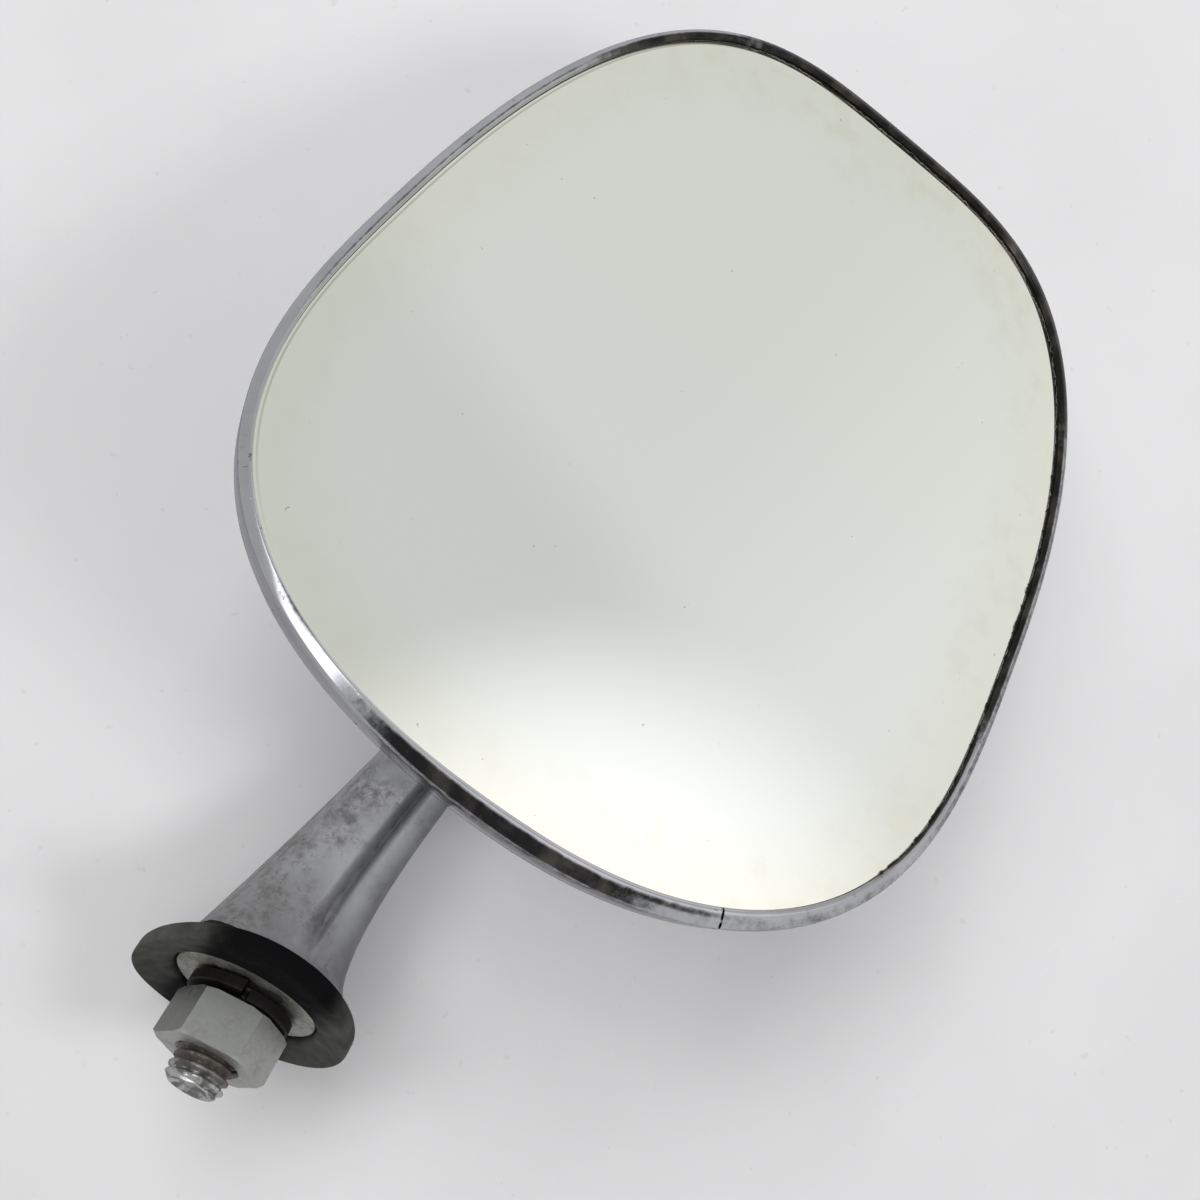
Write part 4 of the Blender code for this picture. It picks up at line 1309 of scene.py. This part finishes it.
@dataclass
class StudSet:
    """Threaded stud, washers and nut."""

    stud_radius: float = 5.0 * MM
    pitch: float = 1.5 * MM
    thread_depth: float = 0.92 * MM
    thread_crest: float = 1.30
    thread_flank: float = 2.8
    end_chamfer: float = 1.1 * MM
    end_slope: float = 1.1
    stud_top: float = 18.7 * MM
    stud_end: float = -15.7 * MM
    dish_depth: float = 0.9 * MM
    washer_radius: float = 12.7 * MM
    washer_top: float = 2.4 * MM
    washer_bottom: float = 0.6 * MM
    washer_edge: float = 0.35 * MM
    lock_radius: float = 9.2 * MM
    lock_top: float = 0.3 * MM
    lock_thickness: float = 2.0 * MM
    lock_lift: float = 0.8 * MM
    lock_edge: float = 0.3 * MM
    lock_split: float = math.radians(8)
    lock_split_at: float = math.radians(262)
    hole_radius: float = 5.3 * MM
    nut_flats: float = 17.0 * MM
    nut_top: float = -2.8 * MM
    nut_bottom: float = -10.8 * MM
    nut_turn: float = math.radians(-13.4)
    nut_chamfer: float = math.radians(30)
    nut_bore: float = 5.12 * MM
    nut_land: float = 0.55 * MM
    nut_sink: float = 0.55 * MM
    nut_edge: float = 0.14 * MM
    nut_spare: float = 1.0 * MM

    def thread(self, angle: float, z: float) -> float:
        """Radius of the right-hand thread at a place on the stud.

        Args:
            angle: Angle round the stud.
            z: Height on the stud.

        Returns:
            The radius.
        """
        phase = (z / self.pitch - angle / (2 * math.pi)) % 1.0
        crest = min(1.0, max(0.0, self.thread_crest - self.thread_flank * abs(phase - 0.5)))
        radius = self.stud_radius - self.thread_depth * (1 - crest)
        end = self.stud_radius - self.end_chamfer + (z - self.stud_end) * self.end_slope
        return min(radius, end)

    def build_stud(self) -> Piece:
        """Stud with a real helical thread and a chamfered end.

        Returns:
            The dressed piece.
        """
        around = 72
        rows = 288
        dish = 8

        def place(column: int, row: int) -> Vector:
            """Point of the thread's skin.

            Args:
                column: Step round the form.
                row: Step along its section.

            Returns:
                The point, in the shared frame.
            """
            angle = angle_of(column, around)
            z = self.stud_end + (self.stud_top - self.stud_end) * max(0, row - dish) / (rows - dish)
            radius = self.thread(angle, z)
            if row < dish:
                share = row / dish
                radius *= share
                z += self.dish_depth * (1 - share ** 3)
            return polar(radius, angle, z)

        piece = wrapped("threaded_stud", rows, around, place, caps=True)
        shade(piece, degrees=50)
        return dress(piece, ThreadFinish("rusty_steel"), Body.ARM, "mounting_stud")

    def build_washer(self) -> Piece:
        """Plain washer with a punched edge.

        Returns:
            The dressed piece.
        """
        corners = [(self.hole_radius, self.washer_bottom), (self.washer_radius, self.washer_bottom),
                   (self.washer_radius, self.washer_top), (self.hole_radius, self.washer_top)]
        piece = turned("punched_washer", rounded_profile(corners, self.washer_edge), Matrix.Identity(4))
        shade(piece, degrees=40)
        finish = SteelFinish("zinc_washer", (0.33, 0.33, 0.30), (0.13, 0.118, 0.090), 0.45, 0.85)
        return dress(piece, finish, Body.ARM, "plain_washer")

    def build_lock(self) -> Piece:
        """Split spring washer: one rising turn with two cut ends.

        Returns:
            The dressed piece.
        """
        bottom = self.lock_top - self.lock_thickness - self.lock_lift
        sweep = 2 * math.pi - self.lock_split
        steps = 120
        corners = [(self.hole_radius, 0.0), (self.lock_radius, 0.0),
                   (self.lock_radius, self.lock_thickness), (self.hole_radius, self.lock_thickness)]
        profile = rounded_profile(corners, self.lock_edge, 3)
        profile.append(profile[0])

        def place(column: int, row: int) -> Vector:
            """Point of the spring washer.

            Args:
                column: Step round the form.
                row: Step along its section.

            Returns:
                The point, in the shared frame.
            """
            share = column / steps
            angle = self.lock_split_at + self.lock_split / 2 + sweep * share
            radius, height = profile[row]
            return polar(radius, angle, bottom + self.lock_lift * share + height)

        piece = wrapped("spring_washer", len(profile) - 1, steps, place, caps=True)
        shade(piece, degrees=40)
        finish = SteelFinish("black_steel", (0.010, 0.009, 0.009), (0.022, 0.017, 0.013), 0.50, 0.4, 0.3,
                             specular=0.15)
        return dress(piece, finish, Body.WASHER, "lock_washer")

    def build_nut(self) -> Piece:
        """Hex nut with turned chamfers, a countersunk bore and eased edges.

        Returns:
            The dressed piece.
        """
        corner = self.nut_flats / math.sqrt(3)
        low, high = self.nut_bottom, self.nut_top
        deselect()
        bpy.ops.mesh.primitive_cylinder_add(vertices=6, radius=corner, depth=high - low)
        nut = bpy.context.object
        nut.name = "hex_nut_body"
        nut.data.name = "hex_nut_body"
        turn = Matrix.Rotation(self.nut_turn + math.radians(30), 4, "Z")
        nut.data.transform(Matrix.Translation((0.0, 0.0, (high + low) / 2)) @ turn)
        flat = self.nut_flats / 2 + self.nut_land
        wide = corner + self.nut_spare / 2
        drop = (wide - flat) * math.tan(self.nut_chamfer)
        chamfers = [(0.0, low), (flat, low), (wide, low + drop),
                    (wide, high - drop), (flat, high), (0.0, high)]
        combine(nut, turned("chamfer_form", chamfers, Matrix.Identity(4), steps=128, closed=False), Join.KEEP)
        mouth = self.nut_bore + self.nut_sink + self.nut_spare
        below, above = low - self.nut_spare, high + self.nut_spare
        bore = [(0.0, below), (mouth, below), (self.nut_bore, low + self.nut_sink),
                (self.nut_bore, high - self.nut_sink), (mouth, above), (0.0, above)]
        combine(nut, turned("bore_form", bore, Matrix.Identity(4), closed=False), Join.CUT)
        apply_modifier(nut, "BEVEL", width=self.nut_edge, segments=2, limit_method="ANGLE",
                       angle_limit=math.radians(25))
        shade(nut, degrees=28)
        finish = SteelFinish("zinc_nut", (0.42, 0.425, 0.41), (0.25, 0.24, 0.21), 0.48, 0.40, left_shade=0.45)
        return dress(nut, finish, Body.NUT, "hex_nut")

    def build(self) -> list[Piece]:
        """Build all the fasteners on the stud."""
        return [self.build_stud(), self.build_washer(), self.build_lock(), self.build_nut()]


@dataclass
class BallStud:
    """Ball with a neck, a collar and a shank."""

    head: HeadFrame
    radius: float = 8.0 * MM
    neck: float = 3.8 * MM
    collar: float = 5.5 * MM
    collar_back: float = 15.2 * MM
    collar_thickness: float = 1.2 * MM
    fillet: float = 0.8 * MM
    fillet_rise: float = 0.25 * MM
    edge: float = 0.2 * MM
    shank: float = 3.0 * MM
    shank_length: float = 8.0 * MM
    ball_steps: int = 30

    def build(self) -> Piece:
        """Turn the ball stud.

        Returns:
            The dressed piece.
        """
        start = math.asin(self.neck / self.radius)
        profile = [(0.0, -self.radius)]
        for i in range(1, self.ball_steps + 1):
            angle = math.pi - (math.pi - start) * i / self.ball_steps
            profile.append((self.radius * math.sin(angle), self.radius * math.cos(angle)))
        back = self.collar_back
        front = back - self.collar_thickness
        end = back + self.shank_length
        profile += [(self.neck, front - self.fillet), (self.neck + self.fillet_rise, front - self.edge),
                    (self.neck + self.fillet, front), (self.collar - self.edge, front),
                    (self.collar, front + self.edge), (self.collar, back - self.edge),
                    (self.collar - self.edge, back), (self.shank, back), (self.shank, end), (0.0, end)]
        piece = turned("turned_ball_stud", profile, self.head.axis, closed=False)
        shade(piece, degrees=30)
        finish = SteelFinish("bare_ball_steel", (0.52, 0.52, 0.51), (0.25, 0.20, 0.15), 0.25, 0.4)
        return dress(piece, finish, Body.ARM, "ball_stud")


class InnerFinishes:
    """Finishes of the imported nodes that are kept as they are."""

    STEEL = ("socket_ring", "spring_bridge", "spring_seat", "bridge_screw_left", "bridge_screw_right")

    def dress(self) -> None:
        """Assign a detailed finish to each kept node."""
        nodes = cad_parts
        chosen = {name: SteelFinish(f"bare_{name}", (0.50, 0.49, 0.46), (0.26, 0.20, 0.14), 0.38, 0.4)
                  for name in self.STEEL}
        chosen |= {
            "friction_spring": SteelFinish("spring_wire", (0.35, 0.33, 0.30), (0.14, 0.10, 0.07), 0.33, 0.5),
            "friction_cap": SteelFinish("worn_brass", (0.62, 0.48, 0.24), (0.28, 0.22, 0.12), 0.30, 0.5),
            "set_screw": SteelFinish("black_grub", (0.060, 0.058, 0.055), (0.12, 0.08, 0.05), 0.40, 0.5, 0.8),
            "ball_seat": SoftFinish("aged_nylon", (0.72, 0.68, 0.56), 0.5),
            "backing_pad": SoftFinish("grey_felt", (0.24, 0.21, 0.17), 0.95, 0.4),
            "glass_seal": RubberFinish("seal_rubber", dust_and_light_from=90.0),
        }
        for name, finish in chosen.items():
            node = nodes[name]
            node.data.materials.clear()
            node.data.materials.append(finish.material())
            LOG.info("%s: kept with finish %s", name, finish.name)


@dataclass(frozen=True)
class Lamp:
    """Soft area lamp that looks at a target and doesn't show in mirrors."""

    name: str
    place: Point
    target: Point
    size: float
    power: float

    def build(self) -> None:
        """Add the lamp to the scene."""
        data = bpy.data.lights.new(self.name, "AREA")
        data.size = self.size
        data.energy = self.power
        lamp = bpy.data.objects.new(self.name, data)
        bpy.context.scene.collection.objects.link(lamp)
        lamp.location = self.place
        lamp.visible_glossy = False
        lamp.rotation_euler = (Vector(self.target) - Vector(self.place)).to_track_quat("-Z", "Y").to_euler()


LAMPS = (
    Lamp("ceiling_lamp", (0.56, -0.77, -0.18), (0.03, -0.06, 0.06), 0.25, 2.0),
    Lamp("window", (-0.98, -1.18, -0.48), (0.0, -0.04, 0.06), 0.60, 6.0),
    Lamp("skylight", (-0.69, -1.59, 0.05), (0.0, -0.04, 0.06), 0.80, 9.5),
    Lamp("fill", (-0.42, -1.15, -0.80), (0.0, -0.06, 0.08), 0.50, 1.5),
)


@dataclass
class Studio:
    """Camera of the photograph, pale table and soft light."""

    place: Point = (-26.61 * MM, -216.39 * MM, -61.98 * MM)
    right: Point = (0.8038, -0.4710, 0.3633)
    forward: Point = (0.1737, 0.7700, 0.6140)
    sensor: float = 36.0
    focal_share: float = 1287.0 / 1200.0
    table_point: Point = (0.0, 23.2 * MM, 3.5 * MM)
    table_normal: Point = (0.0, -0.8335, -0.5525)
    table_size: float = 3.0
    table_dark: Colour = (0.785, 0.777, 0.785)
    table_pale: Colour = (0.815, 0.807, 0.815)
    table_speck: Colour = (0.55, 0.53, 0.50)
    room_light: float = 0.32
    room_colour: Colour = (0.97, 0.985, 1.0)
    seen_colour: Colour = (0.84, 0.84, 0.85)
    wall_lean: tuple[float, float] = (0.296, 0.955)
    low_wall: Colour = (0.655, 0.675, 0.660)
    high_wall: Colour = (0.735, 0.750, 0.735)
    right_wall: Colour = (0.845, 0.855, 0.840)
    patch_light: Colour = (1.25, 1.25, 1.25)
    window_light: Colour = (2.8, 2.8, 2.85)
    skylight_light: Colour = (1.7, 1.7, 1.75)
    near_floor: Colour = (0.36, 0.36, 0.375)
    far_floor: Colour = (0.70, 0.70, 0.71)
    patch_heading: Point = (0.305, -0.925, -0.21)
    window_heading: Point = (-0.23, -0.55, -0.80)
    window_across: Point = (0.94, 0.07, -0.33)
    skylight_heading: Point = (0.28, -0.45, 0.85)

    def camera(self) -> None:
        """Set the camera from the photograph's fit."""
        data = bpy.data.cameras.new("photo_camera")
        data.lens = self.focal_share * self.sensor
        data.sensor_width = self.sensor
        data.clip_start = 0.01
        data.clip_end = 20.0
        camera = bpy.data.objects.new("photo_camera", data)
        bpy.context.scene.collection.objects.link(camera)
        z = -Vector(self.forward).normalized()
        x = Vector(self.right).normalized()
        y = z.cross(x).normalized()
        x = y.cross(z).normalized()
        turn = Matrix((x, y, z)).transposed().to_4x4()
        camera.matrix_world = Matrix.Translation(Vector(self.place)) @ turn
        bpy.context.scene.camera = camera

    def table(self) -> None:
        """Pale table behind the object, unseen from its back."""
        deselect()
        bpy.ops.mesh.primitive_plane_add(size=self.table_size)
        table = bpy.context.object
        table.name = "table"
        normal = Vector(self.table_normal).normalized()
        turn = normal.to_track_quat("Z", "Y").to_matrix().to_4x4()
        table.matrix_world = Matrix.Translation(Vector(self.table_point)) @ turn
        g = Graph("table_top")
        cloud = g.noise(60.0, 4.0)
        speck = g.band(g.noise(3.0, 2.0), 0.70, 0.76)
        tone = g.mix(g.band(cloud, 0.35, 0.65), self.table_dark, self.table_pale)
        g.set("Base Color", g.mix(g.times(speck, 0.25), tone, self.table_speck))
        g.set("Roughness", 0.8)
        behind = g.node("ShaderNodeNewGeometry").outputs["Backfacing"]
        choice = g.choose(behind, g.shader.outputs[0], g.node("ShaderNodeBsdfTransparent").outputs[0])
        g.links.new(choice, g.nodes["Material Output"].inputs["Surface"])
        table.data.materials.append(g.material)
        table.visible_glossy = False

    def world(self) -> None:
        """Pale room: even light, and soft patches for what mirrors."""
        world = bpy.data.worlds.new("pale_room")
        world.use_nodes = True
        bpy.context.scene.world = world
        w = Wiring(world.node_tree, "Generated")
        plain = w.nodes["Background"]
        w.feed(plain.inputs["Color"], self.room_colour)
        w.feed(plain.inputs["Strength"], self.room_light)
        lean = w.plus(w.times(w.axis(0), self.wall_lean[0]), w.times(w.axis(2), self.wall_lean[1]))
        tone = w.mix(w.band(lean, 0.09, 0.18), self.low_wall, self.high_wall)
        tone = w.mix(w.band(w.axis(0), 0.12, 0.42), tone, self.right_wall)
        tone = w.mix(w.towards(self.patch_heading, 17.5, 2.0), tone, self.patch_light)
        across = w.along(self.window_across)
        sides = w.times(w.band(across, -0.27, -0.19), w.band(across, 0.01, 0.07, 1.0, 0.0))
        pane = w.times(w.towards(self.window_heading, 46.0, 34.0), sides)
        tone = w.mix(pane, tone, self.window_light)
        tone = w.mix(w.towards(self.skylight_heading, 22.0, 13.0), tone, self.skylight_light)
        height = w.along(self.table_normal)
        floor = w.mix(w.band(height, -1.0, -0.30), self.near_floor, self.far_floor)
        tone = w.mix(w.band(height, -0.10, 0.02, 1.0, 0.0), tone, floor)
        mirrored = w.node("ShaderNodeBackground", {"Color": tone})
        seen = w.node("ShaderNodeBackground", {"Color": self.seen_colour})
        path = w.node("ShaderNodeLightPath")
        light = w.choose(path.outputs["Is Glossy Ray"], plain.outputs[0], mirrored.outputs[0])
        light = w.choose(path.outputs["Is Camera Ray"], light, seen.outputs[0])
        w.links.new(light, w.nodes["World Output"].inputs["Surface"])

    def build(self) -> None:
        """Set up the whole studio."""
        self.camera()
        self.table()
        self.world()
        for lamp in LAMPS:
            lamp.build()
        bpy.context.scene.view_settings.view_transform = "Standard"


def main() -> None:
    """Build every sub-assembly in order and report each piece."""
    logging.basicConfig(level=logging.INFO, format="%(name)s %(message)s")
    head = HeadFrame()
    Studio().build()
    MirrorHead(head, HeadOutline()).build()
    CastArm(head).build()
    BaseGasket().build()
    StudSet().build()
    BallStud(head).build()
    InnerFinishes().dress()
    deselect()


if __name__ == "__main__":
    main()
